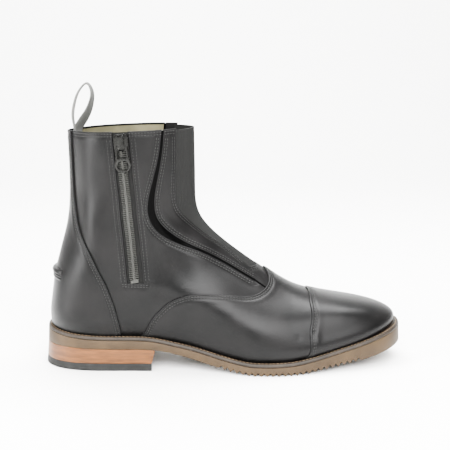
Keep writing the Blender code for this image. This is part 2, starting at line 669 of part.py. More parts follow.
def build_loop(boot):
    """The pull loop, sewn inside the collar at the back."""
    cloth = material("loop_tape", (0.30, 0.30, 0.29), 0.8)
    line = smooth(LOOP_PATH, 30)
    left, right = shifted(line, LOOP_THICKNESS / 2), shifted(line, -LOOP_THICKNESS / 2)
    grids = []
    for side in (left, right):
        grids.append([[(x, y, z) for y in (-LOOP_WIDTH / 2, LOOP_WIDTH / 2)] for x, z in side])
    solid_between("pull_loop", *grids, cloth, boot)


def main():
    """Builds the boot."""
    for item in list(bpy.data.objects):
        bpy.data.objects.remove(item)
    boot = bpy.data.objects.new("boot", None)
    bpy.context.scene.collection.objects.link(boot)
    boot.location = (-HEEL_LENGTH / 2, 0, 0)
    build_sole(boot)
    build_upper(boot)
    build_zip(boot)
    build_loop(boot)


main()
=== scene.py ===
"""Looks of the paddock boot: black leather over a tan sole, with a side zip and an elastic front.

Every panel is laid on one form, the last, whose sections follow the same sizes as the solids.
A place on the last is two numbers: phi, the angle round it from the heel's back over the outer side,
and v, the share of the way from the featherline up to the collar.
"""

from __future__ import annotations

import logging
import math
from collections.abc import Callable
from dataclasses import dataclass, field
from enum import Enum

import bmesh
import bpy
import numpy as np
from mathutils import Matrix, Vector
from mathutils.kdtree import KDTree


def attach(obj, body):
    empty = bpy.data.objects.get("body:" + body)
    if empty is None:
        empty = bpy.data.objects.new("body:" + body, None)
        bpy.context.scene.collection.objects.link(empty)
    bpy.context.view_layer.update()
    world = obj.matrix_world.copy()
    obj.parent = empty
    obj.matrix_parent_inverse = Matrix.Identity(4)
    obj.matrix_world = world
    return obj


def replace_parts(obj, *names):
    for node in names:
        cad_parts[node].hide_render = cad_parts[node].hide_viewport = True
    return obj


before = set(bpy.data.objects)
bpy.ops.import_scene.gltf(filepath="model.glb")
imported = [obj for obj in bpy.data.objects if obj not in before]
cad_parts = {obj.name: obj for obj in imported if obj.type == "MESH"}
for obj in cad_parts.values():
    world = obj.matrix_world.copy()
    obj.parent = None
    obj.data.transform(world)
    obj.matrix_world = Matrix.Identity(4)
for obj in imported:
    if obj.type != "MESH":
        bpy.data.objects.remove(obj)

log = logging.getLogger("paddock_boot")

MM = 0.001
BODY = "boot"
PULL_BODY = "pull_tab"
# A vertex attribute that darkens the leather at panels' free edges and stitch rows: partly the cut edge's own
# dark colour, mostly painted shade of the step and the grooves.
SEAM_SHADE = "seam_shade"
SEAM_PLACES = 300

# A small step in phi or v, over which slopes are measured.
SLOPE_STEP = 1e-4

# Vertices nearer than this are one.
MERGE_DISTANCE = 0.002 * MM

# Rows of a panel nearer than this share of the height are one.
ROW_GAP = 0.0002

# Distance between the places of a free edge from which a panel's points are measured.
EDGE_PITCH = 0.2 * MM

# Distances of the close rows and columns from a panel's free edge.
EDGE_STEPS = np.array([0.0, 0.12, 0.3, 0.55, 0.9, 1.4, 1.9, 2.4, 3.0, 3.7, 4.4, 5.2]) * MM

# Mix nodes that mix colours, and the range in which most of Blender's noise lies.
COLOUR_MIX = {"data_type": "RGBA"}
NOISE_RANGE = {1: 0.35, 2: 0.65}


def spline(at: list[float], values: list) -> Callable:
    """Make a natural cubic spline.

    Args:
        at: places of the knots, rising.
        values: one value or one row of values for each knot.

    Returns:
        A function from places to rows of values.
    """
    at = np.asarray(at, float)
    values = np.asarray(values, float).reshape(len(at), -1)
    step = np.diff(at)
    matrix = np.eye(len(at))
    right = np.zeros_like(values)
    for i in range(1, len(at) - 1):
        matrix[i, i - 1 : i + 2] = step[i - 1], 2 * (step[i - 1] + step[i]), step[i]
        right[i] = 6 * ((values[i + 1] - values[i]) / step[i] - (values[i] - values[i - 1]) / step[i - 1])
    bend = np.linalg.solve(matrix, right)

    def value(x: np.ndarray) -> np.ndarray:
        """Find the values of the spline.

        Args:
            x: places.

        Returns:
            A row of values for each place.
        """
        x = np.asarray(x, float)
        i = np.clip(np.searchsorted(at, x) - 1, 0, len(at) - 2)
        h = step[i][..., None]
        a = ((at[i + 1] - x) / step[i])[..., None]
        b = 1 - a
        curve = ((a**3 - a) * bend[i] + (b**3 - b) * bend[i + 1]) * h * h / 6
        return a * values[i] + b * values[i + 1] + curve

    return value


@dataclass(frozen=True)
class Fold:
    """A soft trough or ridge in the leather.

    It is drawn in the side view, in mm from the heel's back and the floor.
    """

    start: tuple[float, float]
    end: tuple[float, float]
    width: float
    height: float

    def lift(self, x: np.ndarray, z: np.ndarray) -> np.ndarray:
        """Find the height of the fold.

        Args:
            x: distances of the places from the heel's back, in metres.
            z: their heights above the floor.

        Returns:
            How far the fold lifts the leather there.
        """
        start, end = np.array(self.start) * MM, np.array(self.end) * MM
        run = end - start
        share = np.clip(((x - start[0]) * run[0] + (z - start[1]) * run[1]) / (run @ run), 0, 1)
        away = np.hypot(x - start[0] - share * run[0], z - start[1] - share * run[1])
        taper = np.sin(math.pi * (share * 0.9 + 0.05))
        return self.height * MM * taper * np.exp(-((away / (self.width * MM)) ** 2))


# Where the leather has shaped itself to a foot: beside the zip, over the ankle, on the vamp
# and beside the cap.
FOLDS = (
    Fold((39.8, 186), (36.9, 142), 6, 0.7),
    Fold((36.8, 139), (46.4, 99), 6, 0.7),
    Fold((49.1, 178), (49.7, 127), 9, -0.8),
    Fold((89.6, 139), (88.5, 71), 4.5, 0.8),
    Fold((97, 111), (95, 60), 6, -1.4),
    Fold((119, 107), (136, 84), 9, 0.8),
    Fold((104, 95), (122, 67), 8, -0.8),
    Fold((138, 76), (153, 48), 11, 0.5),
    Fold((114, 51), (137, 35), 9, -0.7),
    Fold((203, 32), (206, 27), 1.3, -0.3),
    Fold((219.4, 33), (219, 22), 1.6, 0.45),
    Fold((37, 90), (35, 48), 9, 0.7),
    Fold((58, 92), (70, 52), 9, -0.8),
    Fold((84, 66), (118, 58), 5, -0.6),
    Fold((150, 50), (190, 40), 7, -0.5),
)


@dataclass
class Last:
    """The form under every panel, from named sizes and a table of sections."""

    length: float = 295 * MM
    ball_width: float = 91 * MM
    collar_height: float = 190 * MM
    collar_rise: float = 3.5 * MM
    toe_shift: float = 6 * MM
    heel_height: float = 17.3 * MM
    toe_spring: float = 16 * MM
    heel_length: float = 89 * MM
    sole_thickness: float = 6.7 * MM
    welt_thickness: float = 3 * MM
    ball_flat: float = 0.2 * MM
    seat_gap: float = 0.45 * MM
    welt_ledge: float = 5 * MM
    end_band: float = 0.06
    least_end: float = 0.02
    stations: tuple[float, ...] = (0.15, 0.40, 0.65, 0.85)
    folds: tuple[Fold, ...] = ()

    # at, heel, toe: shares of the length, and of the heel height and the toe spring in the height
    # of the underside. thick, ledge: shares of the sole thickness and of the welt ledge.
    sole_profile: tuple = (
        (0.000, 1.085, 0.00, 1.75, 0.70),
        (0.040, 1.072, 0.00, 1.40, 0.68),
        (0.100, 1.054, 0.00, 1.12, 0.65),
        (0.200, 1.023, 0.00, 1.03, 0.68),
        (0.305, 0.990, 0.00, 0.95, 0.80),
        (0.360, 0.850, 0.00, 0.87, 0.92),
        (0.415, 0.640, 0.00, 0.93, 0.98),
        (0.470, 0.370, 0.00, 1.00, 1.00),
        (0.525, 0.130, 0.00, 1.04, 1.00),
        (0.580, 0.000, 0.00, 1.02, 1.00),
        (0.625, 0.000, 0.00, 1.02, 1.00),
        (0.675, 0.000, 0.01, 1.10, 1.00),
        (0.740, 0.000, 0.13, 1.26, 1.00),
        (0.810, 0.000, 0.33, 1.46, 1.00),
        (0.870, 0.000, 0.50, 1.66, 1.10),
        (0.930, 0.000, 0.72, 1.82, 1.40),
        (1.000, 0.000, 1.03, 1.90, 1.75),
    )
    # back, front: ends of the ring, shares of the length. rise_back, rise_front: shares of the height.
    # sag: how much it follows the featherline. The rest are half-widths in shares of the ball width:
    # heel end, heel, waist outer and inner, ball outer and inner, fore part, toe end.
    sections: tuple = (
        (0.0210, 0.964, 0.000, 0.000, 1.00, 0.25, 0.308, 0.355, 0.265, 0.500, 0.445, 0.385, 0.28),
        (0.0200, 0.970, 0.040, 0.032, 0.94, 0.33, 0.350, 0.388, 0.315, 0.535, 0.480, 0.405, 0.30),
        (0.0205, 0.955, 0.088, 0.063, 0.84, 0.37, 0.378, 0.402, 0.355, 0.532, 0.485, 0.385, 0.29),
        (0.0245, 0.895, 0.145, 0.103, 0.70, 0.36, 0.378, 0.405, 0.375, 0.500, 0.465, 0.365, 0.27),
        (0.0290, 0.790, 0.205, 0.140, 0.54, 0.34, 0.372, 0.402, 0.380, 0.448, 0.424, 0.322, 0.22),
        (0.0340, 0.690, 0.266, 0.193, 0.38, 0.31, 0.360, 0.395, 0.380, 0.396, 0.382, 0.275, 0.18),
        (0.0430, 0.606, 0.330, 0.287, 0.24, 0.27, 0.348, 0.388, 0.378, 0.362, 0.354, 0.250, 0.16),
        (0.0580, 0.522, 0.430, 0.397, 0.11, 0.22, 0.325, 0.384, 0.376, 0.350, 0.345, 0.245, 0.17),
        (0.0745, 0.437, 0.555, 0.546, 0.03, 0.19, 0.300, 0.388, 0.384, 0.366, 0.364, 0.265, 0.22),
        (0.0820, 0.420, 0.730, 0.728, 0.00, 0.20, 0.292, 0.398, 0.396, 0.390, 0.390, 0.285, 0.27),
        (0.0800, 0.418, 1.000, 1.000, 0.00, 0.23, 0.298, 0.408, 0.408, 0.404, 0.404, 0.298, 0.30),
    )

    def __post_init__(self) -> None:
        """Make the splines of the two tables."""
        places = [row[0] for row in self.sole_profile]
        self.profile_at = spline(places, [row[1:] for row in self.sole_profile])
        self.section_at = spline(np.linspace(0, 1, len(self.sections)), self.sections)
        knots = (0.0, *self.stations, 1.0)
        self.knot_basis = spline(knots, np.eye(len(knots)))
        self.shift = self.heel_length / 2

    def profile(self, x: np.ndarray) -> tuple[np.ndarray, ...]:
        """Columns of the sole's profile at x from the heel's back."""
        return tuple(np.moveaxis(self.profile_at(np.clip(np.asarray(x) / self.length, 0, 1)), -1, 0))

    def underside(self, x: np.ndarray) -> np.ndarray:
        """Height of the outsole's underside."""
        heel, toe = self.profile(x)[:2]
        return np.maximum(self.heel_height * heel + self.toe_spring * toe - self.ball_flat, 0)

    def feather(self, x: np.ndarray) -> np.ndarray:
        """Height of the featherline, on top of the welt."""
        return self.underside(x) + self.sole_thickness * self.profile(x)[2] + self.welt_thickness

    def face(self, phi: np.ndarray, v: np.ndarray) -> np.ndarray:
        """Find points of the quarters' outer face.

        Args:
            phi: angles round the last.
            v: shares of the height.

        Returns:
            Points, x measured from the heel's back.
        """
        phi, v = np.broadcast_arrays(np.asarray(phi, float), np.asarray(v, float))
        columns = np.moveaxis(self.section_at(v), -1, 0)
        back, front = columns[0] * self.length, columns[1] * self.length
        rise_back, rise_front, sag, heel_end, heel = columns[2:7]
        waist_out, waist_in, ball_out, ball_in, fore, toe_end = columns[7:]
        along = (1 - np.cos(phi)) / 2
        x = back + (front - back) * along
        outer = np.sin(phi) >= 0
        end = (front - back) / 2
        widths = (heel, np.where(outer, waist_out, waist_in), np.where(outer, ball_out, ball_in), fore)
        knots = [np.sqrt(np.clip(heel_end, self.least_end, None) * self.ball_width * end)]
        for width, station in zip(widths, self.stations):
            knots.append(width * self.ball_width / (2 * math.sqrt(station * (1 - station))))
        knots.append(np.sqrt(np.clip(toe_end, self.least_end, None) * self.ball_width * end))
        weights = self.knot_basis(along)
        fullness = sum(weights[..., i] * knot for i, knot in enumerate(knots))
        lean = np.clip(2 * x / self.length - 1, 0, None)
        y = self.toe_shift * lean**2 - np.sin(phi) * fullness
        seat, tip = (self.feather(share * self.length) for share in self.sections[0][:2])
        z_back = seat + rise_back * (self.collar_height - seat)
        z_front = tip + rise_front * (self.collar_height + self.collar_rise - tip)
        chord = self.feather(back) + (self.feather(front) - self.feather(back)) * along
        z = z_back + (z_front - z_back) * along + sag * (self.feather(x) - chord) + self.seat_gap
        return np.stack([x, y, z], -1)

    def surface(self, phi: np.ndarray, v: np.ndarray, offset: np.ndarray | float = 0.0) -> np.ndarray:
        """Find points beyond the quarters' face.

        Args:
            phi: angles round the last.
            v: shares of the height.
            offset: distances outwards, in metres.

        Returns:
            Points in the frame of the solids.
        """
        step = SLOPE_STEP
        phi, v = np.broadcast_arrays(np.asarray(phi, float), np.asarray(v, float))
        around = self.face(phi + step, v) - self.face(phi - step, v)
        up = self.face(phi, np.clip(v + step, 0, 1)) - self.face(phi, np.clip(v - step, 0, 1))
        normal = np.cross(around, up)
        normal[..., 2] *= np.clip(np.minimum(v, 1 - v) / self.end_band, 0, 1)
        normal /= np.linalg.norm(normal, axis=-1, keepdims=True)
        here = self.face(phi, v)
        out = np.broadcast_to(np.asarray(offset, float), phi.shape).copy()
        for fold in self.folds:
            out += fold.lift(here[..., 0], here[..., 2])
        moved = here + normal * out[..., None]
        low = np.clip(1 - v / self.end_band, 0, 1)
        moved[..., 2] += low * (self.feather(moved[..., 0]) - self.feather(here[..., 0]))
        moved[..., 0] -= self.shift
        return moved

    def rim(self, phi: np.ndarray, out: np.ndarray | float) -> np.ndarray:
        """Find points of the sole's rim.

        Args:
            phi: angles round the last.
            out: distances beyond the welt's edge.

        Returns:
            Points, x measured from the heel's back.
        """
        phi = np.asarray(phi, float)
        here = self.face(phi, 0.0)
        along = self.face(phi + SLOPE_STEP, 0.0) - self.face(phi - SLOPE_STEP, 0.0)
        normal = np.stack([along[..., 1], -along[..., 0]], -1)
        normal /= np.linalg.norm(normal, axis=-1, keepdims=True)
        ledge = self.profile(here[..., 0])[3] * self.welt_ledge
        here[..., :2] += normal * (ledge + out)[..., None]
        return here

    def locate(self, x: np.ndarray, z: np.ndarray) -> tuple[np.ndarray, np.ndarray]:
        """Find phi and v on the outer side from places in the side view.

        Args:
            x: distances from the heel's back, in metres.
            z: heights above the floor, in metres.

        Returns:
            phi and v.
        """
        rounds, pace, edge = 25, 0.8, 0.02
        grid_phi, grid_v = np.meshgrid(np.linspace(0.1, 3.1, 90), np.linspace(0, 1, 70))
        grid = self.face(grid_phi, grid_v)
        miss = np.hypot(grid[..., 0].ravel()[:, None] - x, grid[..., 2].ravel()[:, None] - z)
        nearest = miss.argmin(axis=0)
        phi, v = grid_phi.ravel()[nearest], grid_v.ravel()[nearest]
        step = SLOPE_STEP
        for _ in range(rounds):
            here = self.face(phi, v)[..., [0, 2]]
            turn = (self.face(phi + step, v)[..., [0, 2]] - here) / step
            low = np.where(v > 0.5, -step, step)
            rise = (self.face(phi, v + low)[..., [0, 2]] - here) / low[:, None]
            miss_x, miss_z = x - here[..., 0], z - here[..., 1]
            area = turn[..., 0] * rise[..., 1] - turn[..., 1] * rise[..., 0]
            phi = phi + pace * (miss_x * rise[..., 1] - miss_z * rise[..., 0]) / area
            v = v + pace * (turn[..., 0] * miss_z - turn[..., 1] * miss_x) / area
            phi, v = np.clip(phi, edge, 3.14 - edge), np.clip(v, 0.0, 1.0)
        return phi, v


@dataclass
class Seam:
    """A line on the last, as many close places along it.

    It runs from the collar down unless said otherwise.
    """

    last: Last
    phi: np.ndarray
    v: np.ndarray
    width: np.ndarray | float = 0.0
    tail: tuple[tuple[float, float], ...] = ()

    @classmethod
    def drawn(
        cls, last: Last, points: tuple, to_top: bool = False, to_foot: bool = False, ridge: float = 0.0
    ) -> "Seam":
        """Lay a line from side-view points on the last.

        Args:
            last: the form.
            points: x from the heel's back and z from the floor, in mm, and if need be a width.
            to_top: run the start on to the collar.
            to_foot: run the end on to the featherline.
            ridge: where above 0, the height v at which the line starts, on the middle of the instep.

        Returns:
            The line.
        """
        table = np.asarray(points, float) * MM
        phi, v = last.locate(table[:, 0], table[:, 1])
        width = table[:, 2] if table.shape[1] > 2 else np.zeros(len(table))
        if to_top:
            share = (1.0 - v[0]) / (v[0] - v[1])
            phi = np.r_[phi[0] + share * (phi[0] - phi[1]), phi]
            v, width = np.r_[1.0, v], np.r_[width[0], width]
        if to_foot:
            share = (0.0 - v[-1]) / (v[-1] - v[-2])
            phi = np.r_[phi, phi[-1] + share * (phi[-1] - phi[-2])]
            v, width = np.r_[v, 0.0], np.r_[width, width[-1]]
        if ridge:
            phi, v, width = np.r_[math.pi, phi], np.r_[ridge, v], np.r_[width[0], width]
        face = last.face(phi, v)
        length = np.r_[0, np.cumsum(np.linalg.norm(np.diff(face, axis=0), axis=1))]
        dense = spline(length, np.stack([phi, v, width], -1))(np.linspace(0, length[-1], SEAM_PLACES))
        return cls(last, dense[:, 0], np.clip(dense[:, 1], 0, 1), dense[:, 2])

    @classmethod
    def level(cls, last: Last, v: float, start: float, end: float) -> "Seam":
        """A line at one height, such as the collar's edge."""
        return cls(last, np.linspace(start, end, SEAM_PLACES), np.full(SEAM_PLACES, v))

    def beside(self, distance: np.ndarray | float) -> "Seam":
        """Move the line sideways over the leather.

        Args:
            distance: how far, to the left of its direction seen from outside.

        Returns:
            The moved line.
        """
        step = SLOPE_STEP
        face = self.last.face(self.phi, self.v)
        turn = (self.last.face(self.phi + step, self.v) - face) / step
        low, high = np.clip(self.v - step, 0, 1), np.clip(self.v + step, 0, 1)
        rise = (self.last.face(self.phi, high) - self.last.face(self.phi, low)) / (high - low)[:, None]
        along = np.gradient(face, axis=0)
        along /= np.linalg.norm(along, axis=1, keepdims=True)
        normal = np.cross(turn, rise)
        normal /= np.linalg.norm(normal, axis=1, keepdims=True)
        aside = np.cross(normal, along) * np.reshape(distance, (-1, 1))
        tt, rr, tr = (turn * turn).sum(1), (rise * rise).sum(1), (turn * rise).sum(1)
        at, ar = (aside * turn).sum(1), (aside * rise).sum(1)
        area = tt * rr - tr * tr
        v = np.clip(self.v + (ar * tt - at * tr) / area, 0, 1)
        return Seam(self.last, self.phi + (at * rr - ar * tr) / area, v, self.width, self.tail)

    def phi_at(self, v: np.ndarray) -> np.ndarray:
        """Find where the line crosses heights. Below its foot it follows its tail.

        Args:
            v: heights.

        Returns:
            The line's angle at each of them.
        """
        order = np.argsort(self.v)
        phi = np.interp(v, self.v[order], self.phi[order])
        if self.tail:
            angles, heights = np.array(self.tail).T
            phi = phi + np.interp(v, heights[::-1], angles[::-1]) - angles[0]
        return phi

    def mirrored(self) -> "Seam":
        """The same line on the inner side."""
        tail = tuple((-phi, v) for phi, v in self.tail)
        return Seam(self.last, 2 * math.pi - self.phi, self.v, self.width, tail)

    def part(self, low: float, high: float) -> "Seam":
        """The stretch between two heights."""
        keep = (self.v >= low) & (self.v <= high)
        return Seam(self.last, self.phi[keep], self.v[keep])

    def over(self) -> "Seam":
        """The line from its foot up over the instep and down the other side."""
        front = self.mirrored()
        return Seam(self.last, np.r_[self.phi[::-1], front.phi[1:]], np.r_[self.v[::-1], front.v[1:]])

    def at(self, share: np.ndarray) -> tuple[np.ndarray, np.ndarray]:
        """Find places along the line.

        Args:
            share: shares of the line's length.

        Returns:
            Their angles and heights.
        """
        face = self.last.face(self.phi, self.v)
        length = np.r_[0, np.cumsum(np.linalg.norm(np.diff(face, axis=0), axis=1))]
        where = np.asarray(share) * length[-1]
        return np.interp(where, length, self.phi), np.interp(where, length, self.v)

    def points(self, offset: float = 0.0) -> np.ndarray:
        """Points along the line, the offset above the quarters' face."""
        return self.last.surface(self.phi, self.v, offset)

    def frames(self, pitch: float, offset: float) -> list[Matrix]:
        """Places at an even pitch along the line.

        Args:
            pitch: distance between the places, in metres.
            offset: their height above the quarters' face.

        Returns:
            A matrix for each place: x along the line, z outwards.
        """
        return frames_along(self.points(offset), self.points(offset + 1 * MM), pitch)


def frames_along(line: np.ndarray, above: np.ndarray, pitch: float) -> list[Matrix]:
    """Places at an even pitch along a line of points.

    Args:
        line: the points.
        above: a point over each of them, away from the surface.
        pitch: distance between the places, in metres.

    Returns:
        A matrix for each place: x along the line, z away from the surface.
    """
    length = np.r_[0, np.cumsum(np.linalg.norm(np.diff(line, axis=0), axis=1))]
    places = []
    for s in np.arange(0.5 * pitch, length[-1] - 0.4 * pitch, pitch):
        here, ahead, top = (
            Vector([np.interp(t, length, curve[:, k]) for k in range(3)])
            for t, curve in ((s, line), (min(s + pitch / 3, length[-1]), line), (s, above))
        )
        x_axis = (ahead - here).normalized()
        out = top - here
        z_axis = (out - x_axis * out.dot(x_axis)).normalized()
        turn = Matrix((x_axis, z_axis.cross(x_axis), z_axis)).transposed().to_4x4()
        places.append(Matrix.Translation(here) @ turn)
    return places


@dataclass
class Seams:
    """The lines that the panels are cut to, in the side view, in mm from the heel's back and the floor."""

    last: Last
    back_points: tuple = (
        (27.2, 185), (27.6, 165), (28.4, 140), (33.0, 113), (43.3, 92), (53.2, 72), (60.6, 50), (63.8, 34),
    )
    vamp_points: tuple = (
        (182.2, 71), (179.5, 64.5), (170, 60.2), (155, 61), (140, 63.4), (126, 64.3), (113, 62.4), (102, 57),
        (93, 48.5), (86, 38.5), (82.2, 31),
    )
    cap_points: tuple = ((214.9, 52), (215, 40), (213.6, 24), (212.9, 18))
    gore_points: tuple = (
        (109.4, 182), (109.2, 165), (108.6, 142), (111, 130.5), (117.5, 122), (131, 109.5), (147, 97.5),
        (158, 88.5), (165, 82.5), (168.6, 79.5),
    )
    # The patent strip's middle line and its width.
    strip_points: tuple = (
        (98.7, 188, 1.5), (97.4, 176, 1.7), (94.2, 160, 2.5), (90.6, 144, 3.7), (89.4, 132.5, 5.0),
        (91.6, 122.5, 5.4), (99.5, 112.5, 5.2), (110, 105.3, 3.7), (121, 99.6, 2.0), (140, 90, 1.5),
        (158, 79, 1.5), (171, 71, 1.5),
    )
    zip_points: tuple = (
        (66.9, 187), (68.3, 170), (69.8, 152), (71.45, 132), (73.1, 113), (74.1, 101), (75.1, 89), (76.4, 73),
    )
    zip_slot: float = 12 * MM
    vamp_ridge: float = 0.603
    cap_ridge: float = 0.464
    # Angle and height of the quarters' front edge where it runs on under the vamp.
    strip_tail: tuple = ((2.49, 0.52), (2.50, 0.47), (2.15, 0.41), (1.85, 0.30), (1.80, 0.0))
    gore_foot: float = 0.622

    def __post_init__(self) -> None:
        """Lay the lines on the last."""
        self.back = Seam.drawn(self.last, self.back_points, to_top=True, to_foot=True)
        self.vamp = Seam.drawn(self.last, self.vamp_points, to_foot=True, ridge=self.vamp_ridge)
        self.cap = Seam.drawn(self.last, self.cap_points, to_foot=True, ridge=self.cap_ridge)
        self.gore = Seam.drawn(self.last, self.gore_points, to_top=True)
        self.strip = Seam.drawn(self.last, self.strip_points, to_top=True)
        self.strip.tail = self.strip_tail
        self.strip_left = self.strip.beside(-self.strip.width / 2)
        self.strip_right = self.strip.beside(self.strip.width / 2)
        self.zip = Seam.drawn(self.last, self.zip_points, to_top=True)
        self.zip_left = self.zip.beside(-self.zip_slot / 2)
        self.zip_right = self.zip.beside(self.zip_slot / 2)
        self.zip_foot = float(self.zip.v.min())


def linear(code: str) -> tuple[float, float, float, float]:
    """Turn an sRGB colour to a linear one.

    Args:
        code: the colour in hex, such as #101010.

    Returns:
        Red, green, blue and 1.
    """
    channels = [int(code[i : i + 2], 16) / 255 for i in (1, 3, 5)]
    values = [c / 12.92 if c <= 0.04045 else ((c + 0.055) / 1.055) ** 2.4 for c in channels]
    return (*values, 1.0)


@dataclass
class Graph:
    """The node tree of one material."""

    name: str

    def __post_init__(self) -> None:
        """Make an empty material."""
        self.material = bpy.data.materials.new(self.name)
        self.material.use_nodes = True
        self.tree = self.material.node_tree
        self.tree.nodes.clear()

    def add(self, kind: str, settings: dict | None = None, sockets: dict | None = None) -> bpy.types.Node:
        """Add a node.

        Args:
            kind: the node's type, without its ShaderNode.
            settings: attributes of the node.
            sockets: values of its inputs by name or number. An output is linked, anything else is set.

        Returns:
            The node.
        """
        node = self.tree.nodes.new(f"ShaderNode{kind}")
        for key, value in (settings or {}).items():
            setattr(node, key, value)
        for key, value in (sockets or {}).items():
            if isinstance(value, bpy.types.NodeSocket):
                self.tree.links.new(value, node.inputs[key])
            else:
                node.inputs[key].default_value = value
        return node

    def finish(self, sockets: dict) -> bpy.types.Material:
        """Close the tree with a Principled shader.

        Args:
            sockets: values or links of the shader's inputs.

        Returns:
            The material.
        """
        shader = self.add("BsdfPrincipled", sockets=sockets)
        self.add("OutputMaterial", sockets={"Surface": shader.outputs[0]})
        return self.material


@dataclass(frozen=True)
class Leather:
    """Chrome-tanned calf, lightly polished.

    Its smooth face gives soft broad highlights, and its pores a fine grain that breaks them up.
    """

    name: str = "black_calf"
    dark: str = "#080808"
    light: str = "#100f0f"
    # Colour where seam_shade is 1: the cut edge's own black, plus painted shade in the stitch grooves and
    # along the overlapping edges' step.
    edge: str = "#040404"
    smooth: float = 0.33
    rough: float = 0.46
    edge_dulling: float = 0.3
    cloud: float = 30 * MM
    grain: float = 0.8 * MM
    grain_depth: float = 0.05 * MM
    ripple: float = 10 * MM
    ripple_depth: float = 0.12 * MM
    coat: float = 0.05

    def make(self) -> bpy.types.Material:
        """Make the material.

        Returns:
            The material.
        """
        graph = Graph(self.name)
        place = graph.add("TexCoord").outputs["Object"]
        cloud = graph.add(
            "TexNoise", sockets={"Vector": place, "Scale": 1 / self.cloud, "Detail": 3.0}
        ).outputs["Fac"]
        share = graph.add("MapRange", sockets={0: cloud, **NOISE_RANGE}).outputs[0]
        hide = graph.add("Mix", COLOUR_MIX, {0: share, 6: linear(self.dark), 7: linear(self.light)})
        # Painted shade: darker towards the free edges and in the stitch grooves, where the step and the
        # grooves would shade the leather.
        shade = graph.add("Attribute", {"attribute_name": SEAM_SHADE}).outputs["Fac"]
        colour = graph.add("Mix", COLOUR_MIX, {0: shade, 6: hide.outputs[2], 7: linear(self.edge)})
        polish = graph.add(
            "MapRange", sockets={0: cloud, 1: 0.3, 2: 0.7, 3: self.smooth, 4: self.rough}
        ).outputs[0]
        gloss = graph.add("Math", {"operation": "MULTIPLY_ADD"}, {0: shade, 1: self.edge_dulling, 2: polish})
        pores = graph.add("TexVoronoi", {"feature": "SMOOTH_F1"}, {"Vector": place, "Scale": 1 / self.grain})
        grain = graph.add("Bump", sockets={"Height": pores.outputs["Distance"], "Distance": self.grain_depth})
        wave = graph.add(
            "TexNoise", sockets={"Vector": place, "Scale": 1 / self.ripple, "Detail": 1.0}
        ).outputs["Fac"]
        ripple = graph.add(
            "Bump", sockets={"Height": wave, "Distance": self.ripple_depth, "Normal": grain.outputs[0]}
        )
        return graph.finish({
            "Base Color": colour.outputs[2], "Roughness": gloss.outputs[0], "Normal": ripple.outputs[0],
            "Coat Weight": self.coat, "Coat Roughness": 0.25, "IOR": 1.5, "Specular IOR Level": 0.14,
        })


@dataclass(frozen=True)
class Patent:
    """Patent leather: a thick lacquer over split leather, near black with sharp reflections."""

    name: str = "black_patent"
    colour: str = "#060606"
    wave: float = 5 * MM
    wave_depth: float = 0.05 * MM

    def make(self) -> bpy.types.Material:
        """Make the material.

        Returns:
            The material.
        """
        graph = Graph(self.name)
        place = graph.add("TexCoord").outputs["Object"]
        wave = graph.add(
            "TexNoise", sockets={"Vector": place, "Scale": 1 / self.wave, "Detail": 1.0}
        ).outputs["Fac"]
        soft = graph.add("Bump", sockets={"Height": wave, "Distance": self.wave_depth})
        return graph.finish({
            "Base Color": linear(self.colour), "Roughness": 0.1, "Normal": soft.outputs[0],
            "Specular IOR Level": 0.02,
        })


@dataclass(frozen=True)
class Cloth:
    """Woven yarn: matt, with its threads as a fine relief over two crossing directions."""

    name: str
    dark: str
    light: str
    thread: float
    depth: float
    roughness: float = 0.85

    def make(self) -> bpy.types.Material:
        """Make the material.

        Returns:
            The material.
        """
        graph = Graph(self.name)
        place = graph.add("TexCoord").outputs["Object"]
        # Blender's wave makes one band for each 2 pi / 20 of its scaled length.
        scale = 2 * math.pi / (20 * self.thread)
        bands = [
            graph.add(
                "TexWave", {"bands_direction": axis},
                {"Vector": place, "Scale": scale, "Distortion": 0.5, "Detail": 1.0, "Detail Scale": 2.0},
            ).outputs["Fac"]
            for axis in ("Z", "X")
        ]
        weave = graph.add("Math", {"operation": "MAXIMUM"}, {0: bands[0], 1: bands[1]}).outputs[0]
        share = graph.add("MapRange", sockets={0: weave, 1: 0.3, 2: 1.0}).outputs[0]
        colour = graph.add("Mix", COLOUR_MIX, {0: share, 6: linear(self.dark), 7: linear(self.light)})
        threads = graph.add("Bump", sockets={"Height": weave, "Distance": self.depth})
        return graph.finish({
            "Base Color": colour.outputs[2], "Roughness": self.roughness, "Normal": threads.outputs[0],
            "Specular IOR Level": 0.25,
        })


@dataclass(frozen=True)
class Moulded:
    """Rubber, board, felt or thread: matt and faintly clouded, with a dry skin."""

    name: str
    dark: str
    light: str
    roughness: float = 0.6
    cloud: float = 12 * MM
    skin: float = 0.5 * MM
    depth: float = 0.05 * MM

    def make(self) -> bpy.types.Material:
        """Make the material.

        Returns:
            The material.
        """
        graph = Graph(self.name)
        place = graph.add("TexCoord").outputs["Object"]
        cloud = graph.add(
            "TexNoise", sockets={"Vector": place, "Scale": 1 / self.cloud, "Detail": 5.0}
        ).outputs["Fac"]
        share = graph.add("MapRange", sockets={0: cloud, **NOISE_RANGE}).outputs[0]
        colour = graph.add("Mix", COLOUR_MIX, {0: share, 6: linear(self.dark), 7: linear(self.light)})
        skin = graph.add(
            "TexNoise", sockets={"Vector": place, "Scale": 1 / self.skin, "Detail": 2.0}
        ).outputs["Fac"]
        dry = graph.add("Bump", sockets={"Height": skin, "Distance": self.depth})
        return graph.finish({
            "Base Color": colour.outputs[2], "Roughness": self.roughness, "Normal": dry.outputs[0],
            "Specular IOR Level": 0.25,
        })


